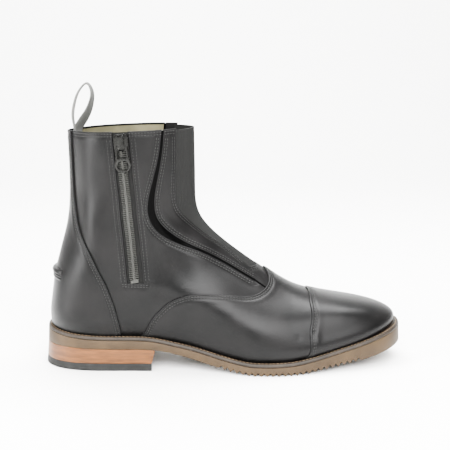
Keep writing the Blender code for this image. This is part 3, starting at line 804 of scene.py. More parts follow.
@dataclass(frozen=True)
class Stack:
    """Stacked leather: thin lifts glued flat, cut and burnished, so faint level lines run round the heel."""

    name: str = "tan_heel_stack"
    dark: str = "#4c2f17"
    light: str = "#643f20"
    joint: str = "#33200f"
    lift: float = 3.4 * MM
    fibre: float = 2.5 * MM
    joint_depth: float = 0.15 * MM

    def make(self) -> bpy.types.Material:
        """Make the material.

        Returns:
            The material.
        """
        graph = Graph(self.name)
        place = graph.add("TexCoord").outputs["Object"]
        flat = graph.add("Mapping", sockets={"Vector": place, "Scale": (0.15, 0.15, 1.0)}).outputs[0]
        fibre = graph.add(
            "TexNoise", sockets={"Vector": flat, "Scale": 1 / self.fibre, "Detail": 4.0}
        ).outputs["Fac"]
        lines = graph.add(
            "TexWave", {"bands_direction": "Z", "wave_profile": "SAW"},
            {"Vector": place, "Scale": 2 * math.pi / (20 * self.lift), "Distortion": 0.1},
        ).outputs["Fac"]
        share = graph.add("MapRange", sockets={0: fibre, **NOISE_RANGE}).outputs[0]
        colour = graph.add("Mix", COLOUR_MIX, {0: share, 6: linear(self.dark), 7: linear(self.light)})
        seam = graph.add("MapRange", sockets={0: lines, 1: 0.0, 2: 0.14, 3: 0.35, 4: 0.0}).outputs[0]
        burnt = graph.add("Mix", COLOUR_MIX, {0: seam, 6: colour.outputs[2], 7: linear(self.joint)})
        relief = graph.add("Bump", {"invert": True}, {"Height": seam, "Distance": self.joint_depth})
        return graph.finish({
            "Base Color": burnt.outputs[2], "Roughness": 0.42, "Normal": relief.outputs[0],
            "Coat Weight": 0.08, "Coat Roughness": 0.3, "Specular IOR Level": 0.25,
        })


@dataclass(frozen=True)
class Metal:
    """Die-cast zinc under dark nickel, lightly tumbled: soft metal highlights."""

    name: str
    colour: str
    roughness: float
    dimple: float = 2 * MM
    dimple_depth: float = 0.02 * MM

    def make(self) -> bpy.types.Material:
        """Make the material.

        Returns:
            The material.
        """
        graph = Graph(self.name)
        place = graph.add("TexCoord").outputs["Object"]
        worn = graph.add(
            "TexNoise", sockets={"Vector": place, "Scale": 1 / self.dimple, "Detail": 3.0}
        ).outputs["Fac"]
        gloss = graph.add(
            "MapRange", sockets={0: worn, 1: 0.3, 2: 0.7, 3: self.roughness - 0.06, 4: self.roughness + 0.08}
        )
        dimple = graph.add("Bump", sockets={"Height": worn, "Distance": self.dimple_depth})
        return graph.finish({
            "Base Color": linear(self.colour), "Metallic": 1.0, "Roughness": gloss.outputs[0],
            "Normal": dimple.outputs[0],
        })


class Finish(Enum):
    """Finishes of the boot."""

    CALF = Leather()
    PATENT = Patent()
    ELASTIC = Cloth("rib_elastic", "#090909", "#161615", 0.5 * MM, 0.05 * MM)
    LINING = Moulded("beige_lining", "#4f4c3a", "#625e4a", 0.8, 18 * MM, 0.6 * MM, 0.08 * MM)
    TAPE = Cloth("zip_tape_weave", "#060606", "#0f0f0e", 0.7 * MM, 0.1 * MM)
    LOOP = Cloth("grey_loop_weave", "#40403e", "#5c5c5a", 0.8 * MM, 0.12 * MM)
    WELT = Moulded("welt_leather", "#1f1a15", "#2a231c", 0.55, 9 * MM, 0.5 * MM, 0.06 * MM)
    SOLE = Moulded("tan_rubber", "#32271a", "#3d3020", 0.6, 14 * MM, 0.6 * MM, 0.05 * MM)
    STACK = Stack()
    LIFT = Moulded("black_rubber", "#171716", "#222221", 0.7, 8 * MM, 0.5 * MM, 0.06 * MM)
    METAL = Metal("black_nickel", "#2b2b2a", 0.24)
    TEETH = Metal("dark_tooth_metal", "#41413f", 0.36)
    THREAD = Moulded("black_thread", "#1d1d1c", "#2a2a29", 0.5, 3 * MM, 0.3 * MM, 0.02 * MM)
    WELT_THREAD = Moulded("tan_thread", "#5e503f", "#73634f", 0.65, 3 * MM, 0.3 * MM, 0.02 * MM)


MATERIALS: dict[Finish, bpy.types.Material] = {}


def material_of(finish: Finish) -> bpy.types.Material:
    """Find a finish's material, which is made when it is first needed.

    Args:
        finish: the finish.

    Returns:
        Its material.
    """
    if finish not in MATERIALS:
        MATERIALS[finish] = finish.value.make()
    return MATERIALS[finish]


def dress(piece: bpy.types.Object, finish: Finish, body: str = BODY) -> bpy.types.Object:
    """Give a piece its finish and the body that it rides on.

    Args:
        piece: the piece.
        finish: its finish.
        body: the body that it moves with.

    Returns:
        The piece.
    """
    piece.data.materials.clear()
    piece.data.materials.append(material_of(finish))
    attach(piece, body)
    log.info("%s: %d faces", piece.name, len(piece.data.polygons))
    return piece


def settle(name: str, bm: bmesh.types.BMesh, sharp: float = 50.0) -> bpy.types.Object:
    """Make a finished mesh an object of the scene.

    Args:
        name: the piece's name.
        bm: its mesh, which is freed.
        sharp: angle in degrees above which an edge stays crisp.

    Returns:
        The object.
    """
    bmesh.ops.remove_doubles(bm, verts=bm.verts, dist=MERGE_DISTANCE)
    bmesh.ops.recalc_face_normals(bm, faces=bm.faces)
    mesh = bpy.data.meshes.new(name)
    bm.to_mesh(mesh)
    bm.free()
    mesh.shade_smooth()
    mesh.set_sharp_from_angle(angle=math.radians(sharp))
    piece = bpy.data.objects.new(name, mesh)
    bpy.context.scene.collection.objects.link(piece)
    return piece


def slab(
    rows: int, columns: int, hole: np.ndarray | None = None, side_cuts: int = 0, joined: int = 0
) -> tuple[bmesh.types.BMesh, np.ndarray]:
    """Make a flat board of cells, one unit thick.

    Args:
        rows: lines of vertices along the board.
        columns: lines of vertices across it.
        hole: cells to leave out, rows - 1 by columns - 1.
        side_cuts: how many times the side walls are cut between the faces.
        joined: in how many of the first rows of cells the last column meets the first, so both have no wall.

    Returns:
        The board, and for each vertex its row, its column and its height from 0 to 1.
    """
    bm = bmesh.new()
    bmesh.ops.create_grid(bm, x_segments=columns - 1, y_segments=rows - 1, size=1.0)
    for vert in bm.verts:
        vert.co = (round((vert.co.y + 1) / 2 * (rows - 1)), round((vert.co.x + 1) / 2 * (columns - 1)), 0)
    if hole is not None:
        gone = [face for face in bm.faces if hole[tuple(int(c) for c in face.calc_center_median()[:2])]]
        bmesh.ops.delete(bm, geom=gone, context="FACES")
    made = bmesh.ops.extrude_face_region(bm, geom=list(bm.faces))["geom"]
    for item in made:
        if isinstance(item, bmesh.types.BMVert):
            item.co.z = 1.0
    if joined:
        walls = []
        for face in bm.faces:
            middle = face.calc_center_median()
            at_side = middle.y < 0.01 or middle.y > columns - 1.01
            if at_side and 0.25 < middle.z < 0.75 and middle.x < joined:
                walls.append(face)
        bmesh.ops.delete(bm, geom=walls, context="FACES")
    if side_cuts:
        walls = [edge for edge in bm.edges if abs(edge.verts[0].co.z - edge.verts[1].co.z) > 0.5]
        bmesh.ops.subdivide_edges(bm, edges=walls, cuts=side_cuts)
    return bm, np.array([vert.co[:] for vert in bm.verts])


def put(bm: bmesh.types.BMesh, points: np.ndarray) -> None:
    """Move each vertex to its point."""
    for vert, point in zip(bm.verts, points):
        vert.co = point


def join(bm: bmesh.types.BMesh, part: bmesh.types.BMesh) -> None:
    """Add a part to a mesh.

    Args:
        bm: the mesh.
        part: what is added, which is freed.
    """
    mesh = bpy.data.meshes.new("part")
    part.to_mesh(mesh)
    part.free()
    bm.from_mesh(mesh)
    bpy.data.meshes.remove(mesh)


def levels(last: Last, low: float, high: float, count: int, fine: tuple[float, ...] = ()) -> np.ndarray:
    """Set the heights of a panel's rows.

    Args:
        last: the form.
        low: the lowest row.
        high: the highest row.
        count: even rows between them.
        fine: heights that have close rows beside them.

    Returns:
        The heights, rising.
    """
    rows = [np.linspace(low, high, count)]
    side = math.pi / 2
    for v in fine:
        rise = np.linalg.norm(last.face(side, v) - last.face(side, v - 0.01)) / 0.01
        rows += [v - EDGE_STEPS / rise, v + EDGE_STEPS / rise]
    kept = [v for v in fine if low < v < high]
    for v in np.unique(np.clip(np.concatenate(rows), low, high)):
        if low + ROW_GAP < v < high - ROW_GAP and min(abs(v - other) for other in kept + [0.0]) > ROW_GAP:
            kept.append(float(v))
    return np.array(sorted([low, high, *kept]))


class Grade(Enum):
    """Sides of a panel that have close columns."""

    LEFT = "left"
    RIGHT = "right"
    BOTH = "both"
    NONE = "none"


def between(left: Seam, right: Seam, v: np.ndarray, count: int, grade: Grade = Grade.BOTH) -> np.ndarray:
    """Angles of a panel's columns between two lines, closer together at its free edges.

    Args:
        left: line at smaller phi.
        right: line at larger phi.
        v: heights of the rows.
        count: columns between the close ones.
        grade: which sides have close columns.

    Returns:
        Angles, rows by columns.
    """
    start, end = [left.phi_at(v)], [right.phi_at(v)]
    if grade in (Grade.LEFT, Grade.BOTH):
        start = [left.beside(step).phi_at(v) for step in EDGE_STEPS]
    if grade in (Grade.RIGHT, Grade.BOTH):
        end = [right.beside(-step).phi_at(v) for step in EDGE_STEPS[::-1]]
    inner = [start[-1] + (end[0] - start[-1]) * k / (count + 1) for k in range(1, count + 1)]
    return np.stack(start + inner + end, -1)


def spread(v: np.ndarray, phi: np.ndarray) -> np.ndarray:
    """The rows' heights, repeated over the columns."""
    return np.repeat(v[:, None], phi.shape[1], 1)


@dataclass
class Panel:
    """A piece of leather or cloth on the last. Its heights are measured from the quarters' face."""

    last: Last
    name: str
    finish: Finish
    slot: str
    low: float
    high: float
    edges: list[Seam] = field(default_factory=list)
    rows: tuple[float, ...] = (2.0 * MM, 3.9 * MM)
    roll: float = 0.7 * MM
    dip: float = 0.32 * MM
    dip_width: float = 0.45 * MM
    # Width of the painted shade at the free edge.
    edge_shade_width: float = 0.5 * MM
    swell: float = 0.12 * MM
    swell_place: float = 2.4 * MM
    swell_width: float = 1.8 * MM
    edge_share: float = 0.4
    # Strength of the painted shade in the stitch grooves.
    row_shade: float = 0.6
    shape: Callable | None = None

    def height(self, away: np.ndarray) -> np.ndarray:
        """Find the height of the outer face: rounded at the edge, with a groove for each row of stitches.

        Args:
            away: distances from the free edge.

        Returns:
            Heights above the quarters' face.
        """
        near = np.clip(away / self.roll, 0, 1)
        rise = self.edge_share + (1 - self.edge_share) * np.sqrt(np.clip(1 - (1 - near) ** 2, 0, 1))
        height = self.low + (self.high - self.low) * rise
        for row in self.rows:
            height = height - self.dip * np.exp(-(((away - row) / self.dip_width) ** 2))
        if self.rows:
            beyond = away - self.rows[-1] - self.swell_place
            height = height + self.swell * np.exp(-((beyond / self.swell_width) ** 2))
        return height

    def shade(self, away: np.ndarray) -> np.ndarray:
        """Find the painted shade on the leather: darkest at the raw edge, partly its own dark colour and
        partly the step's shade, and along the grooves of the rows of needle holes.

        Args:
            away: distances from the free edge.

        Returns:
            Shades from 0, the plain leather, to 1.
        """
        shade = np.exp(-((away / self.edge_shade_width) ** 2))
        for row in self.rows:
            shade = np.maximum(shade, self.row_shade * np.exp(-(((away - row) / self.dip_width) ** 2)))
        return shade

    def distance(self, points: np.ndarray) -> np.ndarray:
        """Measure how far points are from the nearest free edge.

        Args:
            points: places on the last.

        Returns:
            A distance for each point.
        """
        lines = []
        for seam in self.edges:
            line = seam.points()
            steps = np.r_[0, np.cumsum(np.linalg.norm(np.diff(line, axis=0), axis=1))]
            fine = np.linspace(0, steps[-1], max(2, int(steps[-1] / EDGE_PITCH)))
            lines.append(np.stack([np.interp(fine, steps, line[:, k]) for k in range(3)], -1))
        cloud = np.concatenate(lines)
        tree = KDTree(len(cloud))
        for k, point in enumerate(cloud):
            tree.insert(point, k)
        tree.balance()
        return np.array([tree.find(point)[2] for point in points])

    def build(
        self, phi: np.ndarray, v: np.ndarray, hole: np.ndarray | None = None, joined: int = 0
    ) -> bpy.types.Object:
        """Lay the panel on the last.

        Args:
            phi: angle of each vertex, rows by columns.
            v: height of each vertex.
            hole: cells left out.
            joined: in how many of the first rows of cells the panel closes round.

        Returns:
            The finished piece.
        """
        bm, index = slab(*phi.shape, hole, 0, joined)
        i, j = index[:, 0].astype(int), index[:, 1].astype(int)
        outer = index[:, 2] > 0.5
        at_phi, at_v = phi[i, j], v[i, j]
        top = np.full(len(at_phi), self.high)
        if self.edges:
            away = self.distance(self.last.surface(at_phi, at_v))
            top = self.height(away)
            # Painted shade at the free edges and in the stitch grooves, which the leather's colour reads.
            layer = bm.verts.layers.float.new(SEAM_SHADE)
            for vert, dark in zip(bm.verts, self.shade(away)):
                vert[layer] = dark
        if self.shape:
            top = top + self.shape(at_phi, at_v)
        put(bm, self.last.surface(at_phi, at_v, np.where(outer, top, self.low)))
        return dress(settle(self.name, bm), self.finish)


@dataclass
class Stitching:
    """Rows of lockstitches: each is a short length of thread that dips into the leather at both ends."""

    name: str
    finish: Finish
    slot: str
    pitch: float = 2.4 * MM
    length: float = 1.7 * MM
    width: float = 0.55 * MM
    height: float = 0.4 * MM
    places: list[Matrix] = field(default_factory=list)

    def sew(self, seam: Seam, offset: float, aside: float = 0.0) -> None:
        """Sew a row beside a line, the offset above the quarters' face."""
        self.places += seam.beside(aside).frames(self.pitch, offset)

    def build(self) -> bpy.types.Object:
        """Make all the stitches as one piece, a few at a time because a large mesh slows each new one.

        Returns:
            The piece.
        """
        bm = bmesh.new()
        size = Matrix.Diagonal((self.length / 2, self.width / 2, self.height / 2, 1))
        lying = Matrix.Rotation(math.radians(90), 4, "Y")
        batch = 40
        for start in range(0, len(self.places), batch):
            some = bmesh.new()
            for place in self.places[start : start + batch]:
                bmesh.ops.create_uvsphere(
                    some, u_segments=6, v_segments=4, radius=1.0, matrix=place @ size @ lying
                )
            join(bm, some)
        return dress(settle(self.name, bm, 80), self.finish)


@dataclass
class Upper:
    """Quarters, front strip, vamp, toe cap, back panel, elastic, patent strips and lining."""

    last: Last
    seams: Seams
    leather: float = 1.2 * MM
    overlay_high: float = 1.5 * MM
    cap_high: float = 2.4 * MM
    tuck: float = 6 * MM
    collar_rows: tuple[float, ...] = (1.6 * MM, 3.6 * MM)
    rows: tuple[float, ...] = (2.0 * MM, 3.9 * MM)
    cap_rows: tuple[float, ...] = (2.7 * MM, 4.4 * MM)
    zip_rows: tuple[float, ...] = (2.2 * MM, 5.0 * MM)
    foot_rows: tuple[float, ...] = (1.6 * MM, 3.4 * MM)
    seam_end: float = 0.988
    thread_sink: float = 0.06 * MM
    # Undersides and faces, from the quarters' outer face.
    elastic_span: tuple[float, float] = (-1.6 * MM, -0.6 * MM)
    patent_span: tuple[float, float] = (-1.0 * MM, -0.45 * MM)
    patent_crown: float = 0.35 * MM
    lining_span: tuple[float, float] = (-2.05 * MM, -1.65 * MM)
    overlay_low: float = -0.1 * MM
    cap_low: float = 0.2 * MM
    elastic_tuck: float = 2.5 * MM
    patent_tuck: float = 1 * MM
    # Heights at which panels end, and at which the sewing of the front starts.
    elastic_top: float = 0.997
    patent_top: float = 0.999
    lining_top: float = 0.9965
    front_foot: float = 0.5
    front_sewn: float = 0.53
    # Angles between which the collar is a free edge of a panel.
    quarter_collar: tuple[float, float] = (0.0, 2.4)
    inner_collar: tuple[float, float] = (3.8, 6.2)
    strip_collars: tuple = ((1.9, 2.5), (3.7, 4.4))
    back_collar: tuple[float, float] = (-0.4, 0.4)
    # The patch's corners as a share of the cap's rear edge, and its size for the close rows.
    cap_corner: float = 0.27
    cap_reach: float = 60 * MM
    # Lines of vertices: rows, then the columns of each stretch.
    quarter_cuts: tuple[int, ...] = (70, 14, 6, 16)
    inner_cuts: tuple[int, ...] = (70, 34)
    front_cuts: tuple[int, ...] = (46, 8, 22)
    elastic_cuts: tuple[int, ...] = (50, 330)
    patent_cuts: tuple[int, ...] = (90, 9)
    vamp_cuts: tuple[int, ...] = (210, 52)
    cap_cuts: tuple[int, ...] = (46, 60)
    back_cuts: tuple[int, ...] = (76, 40)
    lining_cuts: tuple[int, ...] = (60, 120, 24)
    rib_pitch: float = 1.7 * MM
    rib_depth: float = 0.22 * MM

    def collar(self, start: float, end: float) -> Seam:
        """The collar's edge between two angles."""
        return Seam.level(self.last, 1.0, start, end)

    def quarters(self) -> None:
        """The outer quarter with the zip's slot, and the inner quarter."""
        lines = self.seams
        rows, behind, across, ahead = self.quarter_cuts
        v = levels(self.last, 0.0, 1.0, rows, (1.0, lines.zip_foot))
        left = between(lines.back.beside(-self.tuck), lines.zip_left, v, behind, Grade.RIGHT)
        slot = between(lines.zip_left, lines.zip_right, v, across, Grade.NONE)
        right = between(lines.zip_right, lines.strip_left, v, ahead)
        phi = np.concatenate([left, slot[:, 1:-1], right], 1)
        hole = np.zeros((phi.shape[0] - 1, phi.shape[1] - 1), bool)
        foot_row = int(np.argmin(abs(v - lines.zip_foot)))
        hole[foot_row:, left.shape[1] - 1 : left.shape[1] + slot.shape[1] - 2] = True
        ends = [float(seam.phi_at(lines.zip_foot)) for seam in (lines.zip_left, lines.zip_right)]
        foot = Seam.level(self.last, lines.zip_foot, *ends)
        collar = self.collar(*self.quarter_collar)
        edges = [lines.zip_left, lines.zip_right, foot, lines.strip_left, collar]
        outer = Panel(self.last, "quarter_outer", Finish.CALF, "upper", -self.leather, 0.0, edges, self.rows)
        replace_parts(outer.build(phi, spread(v, phi), hole), "upper")

        rows, columns = self.inner_cuts
        v = levels(self.last, 0.0, 1.0, rows, (1.0,))
        left, right = lines.strip_left.mirrored(), lines.back.mirrored().beside(self.tuck)
        phi = between(left, right, v, columns, Grade.LEFT)
        edges = [left, self.collar(*self.inner_collar)]
        inner = Panel(self.last, "quarter_inner", Finish.CALF, "upper", -self.leather, 0.0, edges, self.rows)
        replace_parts(inner.build(phi, spread(v, phi)), "upper")

    def front(self) -> None:
        """The strip of leather round the elastic, and the elastic itself."""
        lines = self.seams
        rows, beside, across = self.front_cuts
        v = levels(self.last, self.front_foot, 1.0, rows, (1.0, lines.gore_foot))
        outer = between(lines.strip_right, lines.gore, v, beside)
        inner = between(lines.gore.mirrored(), lines.strip_right.mirrored(), v, beside)
        middle = between(lines.gore, lines.gore.mirrored(), v, across, Grade.NONE)[:, 1:-1]
        phi = np.concatenate([outer, middle, inner], 1)
        hole = np.zeros((phi.shape[0] - 1, phi.shape[1] - 1), bool)
        foot_row = int(np.argmin(abs(v - lines.gore_foot)))
        hole[foot_row:, outer.shape[1] - 1 : outer.shape[1] + middle.shape[1]] = True
        end = float(lines.gore.phi_at(lines.gore_foot))
        gore = lines.gore.part(lines.gore_foot, 1.0)
        edges = [
            lines.strip_right, lines.strip_right.mirrored(), gore, gore.mirrored(),
            Seam.level(self.last, lines.gore_foot, end, 2 * math.pi - end),
            *(self.collar(*span) for span in self.strip_collars),
        ]
        piece = Panel(self.last, "front_strip", Finish.CALF, "upper", -self.leather, 0.0, edges, self.rows)
        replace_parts(piece.build(phi, spread(v, phi), hole), "upper")

        rows, columns = self.elastic_cuts
        v = levels(self.last, lines.gore_foot - 0.02, self.elastic_top, rows)
        half = (columns - 1) / 2
        share = np.linspace(-1, 1, columns)
        edge = lines.gore.beside(-self.elastic_tuck).phi_at(v)
        phi = math.pi + share * (math.pi - edge[:, None])
        steps = np.linalg.norm(np.diff(self.last.face(phi, spread(v, phi)), axis=1), axis=2)
        run = np.concatenate([np.zeros((len(v), 1)), np.cumsum(steps, axis=1)], 1)
        run -= run[:, [int(half)]]
        relief = self.rib_depth * np.cos(run * 2 * math.pi / self.rib_pitch)

        def ribs(at_phi: np.ndarray, at_v: np.ndarray) -> np.ndarray:
            """Find the height of the elastic's ribs.

            Args:
                at_phi: angles.
                at_v: heights.

            Returns:
                How far the ribs stand out there.
            """
            row = np.searchsorted(v, at_v - 1e-9)
            column = np.round((at_phi - math.pi) / (math.pi - edge[row]) * half + half).astype(int)
            return relief[row, np.clip(column, 0, columns - 1)]

        elastic = Panel(
            self.last, "elastic_panel", Finish.ELASTIC, "elastic_gore", *self.elastic_span, shape=ribs
        )
        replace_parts(elastic.build(phi, spread(v, phi)), "elastic_gore")

    def patent(self) -> None:
        """The glossy strips, let in between quarter and front strip."""
        lines = self.seams
        rows, columns = self.patent_cuts
        v = levels(self.last, self.front_foot, self.patent_top, rows)
        for side in ("outer", "inner"):
            left = lines.strip_left.beside(-self.patent_tuck)
            right = lines.strip_right.beside(self.patent_tuck)
            if side == "inner":
                left, right = right.mirrored(), left.mirrored()
            phi = between(left, right, v, columns, Grade.NONE)

            def crown(
                at_phi: np.ndarray, at_v: np.ndarray, left: Seam = left, right: Seam = right
            ) -> np.ndarray:
                """The strip is a little fuller in its middle."""
                a, b = left.phi_at(at_v), right.phi_at(at_v)
                return self.patent_crown * (1 - (2 * (at_phi - a) / (b - a) - 1) ** 2)

            slot = f"patent_strip_{side}"
            piece = Panel(
                self.last, f"patent_{side}", Finish.PATENT, slot, *self.patent_span, shape=crown
            )
            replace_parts(piece.build(phi, spread(v, phi)), slot)

    def vamp(self) -> None:
        """The forepart, sewn over quarters and front strip, from one featherline over to the other."""
        rear, fore = self.seams.vamp.over(), self.seams.cap.over().beside(-self.tuck)
        rows, count = self.vamp_cuts
        share = np.linspace(0, 1, rows)
        columns = [rear.beside(-step).at(share) for step in EDGE_STEPS]
        start, end = columns[-1], fore.at(share)
        for k in range(1, count + 1):
            t = k / count
            columns.append((start[0] + (end[0] - start[0]) * t, start[1] + (end[1] - start[1]) * t))
        phi = np.stack([column[0] for column in columns], -1)
        v = np.stack([column[1] for column in columns], -1)
        v[[0, -1]] = 0.0
        piece = Panel(
            self.last, "vamp_leather", Finish.CALF, "vamp", self.overlay_low, self.overlay_high, [rear],
            self.rows,
        )
        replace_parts(piece.build(phi, v), "vamp")

    def cap(self) -> None:
        """The toe cap: a four-sided patch whose two sides and top run along its rear edge."""
        rear = self.seams.cap.over()
        corner = self.cap_corner
        near = EDGE_STEPS / self.cap_reach
        rows, columns = self.cap_cuts
        s = np.unique(np.r_[near, np.linspace(near[-1], 1 - near[-1], columns), 1 - near])
        t = np.unique(np.r_[np.linspace(0, 1 - near[-1], rows), 1 - near])
        left = np.stack(rear.at(corner * t), -1)
        right = np.stack(rear.at(1 - corner * t), -1)
        top = np.stack(rear.at(corner + (1 - 2 * corner) * s), -1)
        bottom = np.stack([rear.phi[0] + (rear.phi[-1] - rear.phi[0]) * s, np.zeros(len(s))], -1)
        s, t = s[None, :, None], t[:, None, None]
        patch = (1 - s) * left[:, None] + s * right[:, None] + (1 - t) * bottom[None] + t * top[None]
        patch -= (1 - t) * ((1 - s) * bottom[0] + s * bottom[-1])
        patch -= t * ((1 - s) * top[0] + s * top[-1])
        piece = Panel(
            self.last, "toe_cap_leather", Finish.CALF, "toe_cap", self.cap_low, self.cap_high, [rear],
            self.cap_rows,
        )
        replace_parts(piece.build(patch[..., 0], np.clip(patch[..., 1], 0, 1)), "toe_cap")

    def back(self) -> None:
        """The back panel: counter and back strap in one."""
        rows, columns = self.back_cuts
        v = levels(self.last, 0.0, 1.0, rows, (1.0,))
        right = self.seams.back
        left = Seam(self.last, -right.phi, right.v)
        phi = between(left, right, v, columns)
        edges = [left, right, self.collar(*self.back_collar)]
        piece = Panel(
            self.last, "back_leather", Finish.CALF, "back_panel", self.overlay_low, self.overlay_high,
            edges, self.rows,
        )
        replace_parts(piece.build(phi, spread(v, phi)), "back_panel")

    def lining(self) -> None:
        """The beige lining inside the quarters: it stops at their front edges."""
        edge = self.seams.strip_left
        rows, columns, across = self.lining_cuts
        v = levels(self.last, 0.0, self.lining_top, rows, (self.seams.gore_foot,))
        beyond = Seam(self.last, edge.phi + 2 * math.pi, edge.v)
        around = between(edge.mirrored(), beyond, v, columns, Grade.NONE)
        front = between(edge, edge.mirrored(), v, across, Grade.NONE)[:, 1:] + 2 * math.pi
        phi = np.concatenate([around, front], 1)
        hole = np.zeros((phi.shape[0] - 1, phi.shape[1] - 1), bool)
        foot_row = int(np.argmin(abs(v - self.seams.gore_foot)))
        hole[foot_row:, around.shape[1] - 1 :] = True
        piece = Panel(self.last, "lining", Finish.LINING, "upper", *self.lining_span)
        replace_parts(piece.build(phi, spread(v, phi), hole, foot_row), "upper")

    def sewing(self) -> None:
        """All the rows of stitches on the leather."""
        lines = self.seams
        thread = Stitching("upper_stitches", Finish.THREAD, "upper")
        flat, proud, capped = (
            height - self.thread_sink for height in (0.0, self.overlay_high, self.cap_high)
        )
        gore = lines.gore.part(lines.gore_foot + 0.02, self.seam_end)
        end = float(lines.gore.phi_at(lines.gore_foot))
        for row in self.rows:
            thread.sew(lines.back.part(0.02, 0.99), proud, -row)
            thread.sew(lines.back.mirrored().part(0.02, 0.99), proud, row)
            thread.sew(lines.vamp.over(), proud, -row)
            for seam, side in ((lines.strip_left, -1), (lines.strip_right, 1), (gore, -1)):
                kept = seam.part(self.front_sewn, self.seam_end)
                thread.sew(kept, flat, side * row)
                thread.sew(kept.mirrored(), flat, -side * row)
            thread.sew(Seam.level(self.last, lines.gore_foot, end, 2 * math.pi - end), flat, -row)
        for row in self.cap_rows:
            thread.sew(lines.cap.over(), capped, -row)
        left, right = (float(seam.phi_at(lines.zip_foot)) for seam in (lines.zip_left, lines.zip_right))
        for row in self.zip_rows:
            thread.sew(lines.zip_left.part(0, self.seam_end), flat, -row)
            thread.sew(lines.zip_right.part(0, self.seam_end), flat, row)
        for row in self.foot_rows:
            thread.sew(Seam.level(self.last, lines.zip_foot, left - 0.06, right + 0.06), flat, -row)
        marks = (lines.back, lines.zip_left, lines.zip_right, lines.strip_left, lines.strip_right, lines.gore)
        back, zip_left, zip_right, strip_left, strip_right, gore_edge = (
            float(seam.phi_at(1.0)) for seam in marks
        )
        for row in self.collar_rows:
            thread.sew(self.collar(-back, back), proud, -row)
            for start, stop in ((back, zip_left), (zip_right, strip_left), (strip_right, gore_edge)):
                thread.sew(self.collar(start, stop), flat, -row)
            for start, stop in ((back, strip_left), (strip_right, gore_edge)):
                thread.sew(self.collar(2 * math.pi - stop, 2 * math.pi - start), flat, -row)
        thread.build()

    def build(self) -> None:
        """Build every panel."""
        self.quarters()
        self.front()
        self.patent()
        self.vamp()
        self.cap()
        self.back()
        self.lining()
        self.sewing()


@dataclass
class Heel:
    """Spur rest and pull loop at the heel's back."""

    last: Last
    rest_angle: float = 0.40
    rest_low: float = 0.470
    rest_high: float = 0.557
    rest_foot: float = 1.3 * MM
    rest_reach: float = 2.7 * MM
    rest_fade: float = 0.85
    loop_width: float = 9.5 * MM
    loop_thickness: float = 1.5 * MM
    loop_edge: float = 0.55
    loop_turn: float = 38.0
    loop_lean: float = 15.0
    # Shares of the tape's length: from its foot to the loop's top, and where the second strand turns.
    loop_top: float = 0.52
    loop_twist: float = 0.25
    loop_points: tuple = (
        (28.2, 174), (28.2, 186), (27.4, 194), (26.6, 200), (27.4, 208), (29.6, 216), (33.4, 223),
        (38.4, 226.8), (41.8, 222), (41.6, 213), (38.8, 205), (34.2, 197.5), (30.4, 190), (30.1, 184),
        (30.1, 174),
    )

    def spur_rest(self) -> None:
        """A padded shelf: its upper edge stands proud, and two creases run below it."""
        share = np.linspace(-1, 1, 81)
        rise = np.linspace(0, 1, 45)
        phi, v = np.meshgrid(share * self.rest_angle, self.rest_low + (self.rest_high - self.rest_low) * rise)
        # Shares of the pad's height, and how far it stands out there.
        profile = spline(
            [0, 0.06, 0.2, 0.26, 0.33, 0.42, 0.48, 0.55, 0.78, 0.92, 1.0],
            [0.12, 0.28, 0.42, 0.28, 0.46, 0.62, 0.46, 0.72, 1.0, 0.8, 0.35],
        )

        def pad(at_phi: np.ndarray, at_v: np.ndarray) -> np.ndarray:
            """Find the height of the pad.

            Args:
                at_phi: angles.
                at_v: heights.

            Returns:
                How far the pad stands out there, above its foot.
            """
            t = np.clip((at_v - self.rest_low) / (self.rest_high - self.rest_low), 0, 1)
            sides = 1 - self.rest_fade * np.abs(at_phi / self.rest_angle) ** 6
            return self.rest_reach * profile(t)[..., 0] * sides

        foot = self.rest_foot
        piece = Panel(self.last, "spur_rest_pad", Finish.CALF, "spur_rest", foot, foot, shape=pad)
        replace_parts(piece.build(phi, v), "spur_rest")

    def loop(self) -> None:
        """The cloth loop: one strand faces back, the other turns a little towards the outer side."""
        points = np.asarray(self.loop_points, float) * MM
        length = np.r_[0, np.cumsum(np.linalg.norm(np.diff(points, axis=0), axis=1))]
        rows, columns = 120, 13
        line = spline(length, points)(np.linspace(0, length[-1], rows))
        along = np.gradient(line, axis=0)
        along /= np.linalg.norm(along, axis=1, keepdims=True)
        share = np.linspace(0, 1, rows)
        top, twist = self.loop_top, self.loop_twist
        turn = np.radians(self.loop_turn) * np.clip((share - top) / twist, 0, 1)
        turn += np.radians(self.loop_lean) * np.sin(math.pi * np.clip(share / top, 0, 1))
        bm, index = slab(rows, columns)
        i, j = index[:, 0].astype(int), index[:, 1] / (columns - 1) * 2 - 1
        thick = (index[:, 2] * 2 - 1) * self.loop_thickness / 2 * (1 - self.loop_edge * np.abs(j) ** 8)
        zero = np.zeros(len(i))
        normal = np.stack([along[i, 1], zero, -along[i, 0]], -1)
        across = np.stack([zero, zero - 1, zero], -1)
        angle = turn[i][:, None]
        width_axis = across * np.cos(angle) + normal * np.sin(angle)
        thick_axis = normal * np.cos(angle) - across * np.sin(angle)
        centre = np.stack([line[i, 0] - self.last.shift, zero, line[i, 1]], -1)
        put(bm, centre + width_axis * (j * self.loop_width / 2)[:, None] + thick_axis * thick[:, None])
        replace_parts(dress(settle("pull_loop_tape", bm), Finish.LOOP), "pull_loop")

    def build(self) -> None:
        """Build both."""
        self.spur_rest()
        self.loop()


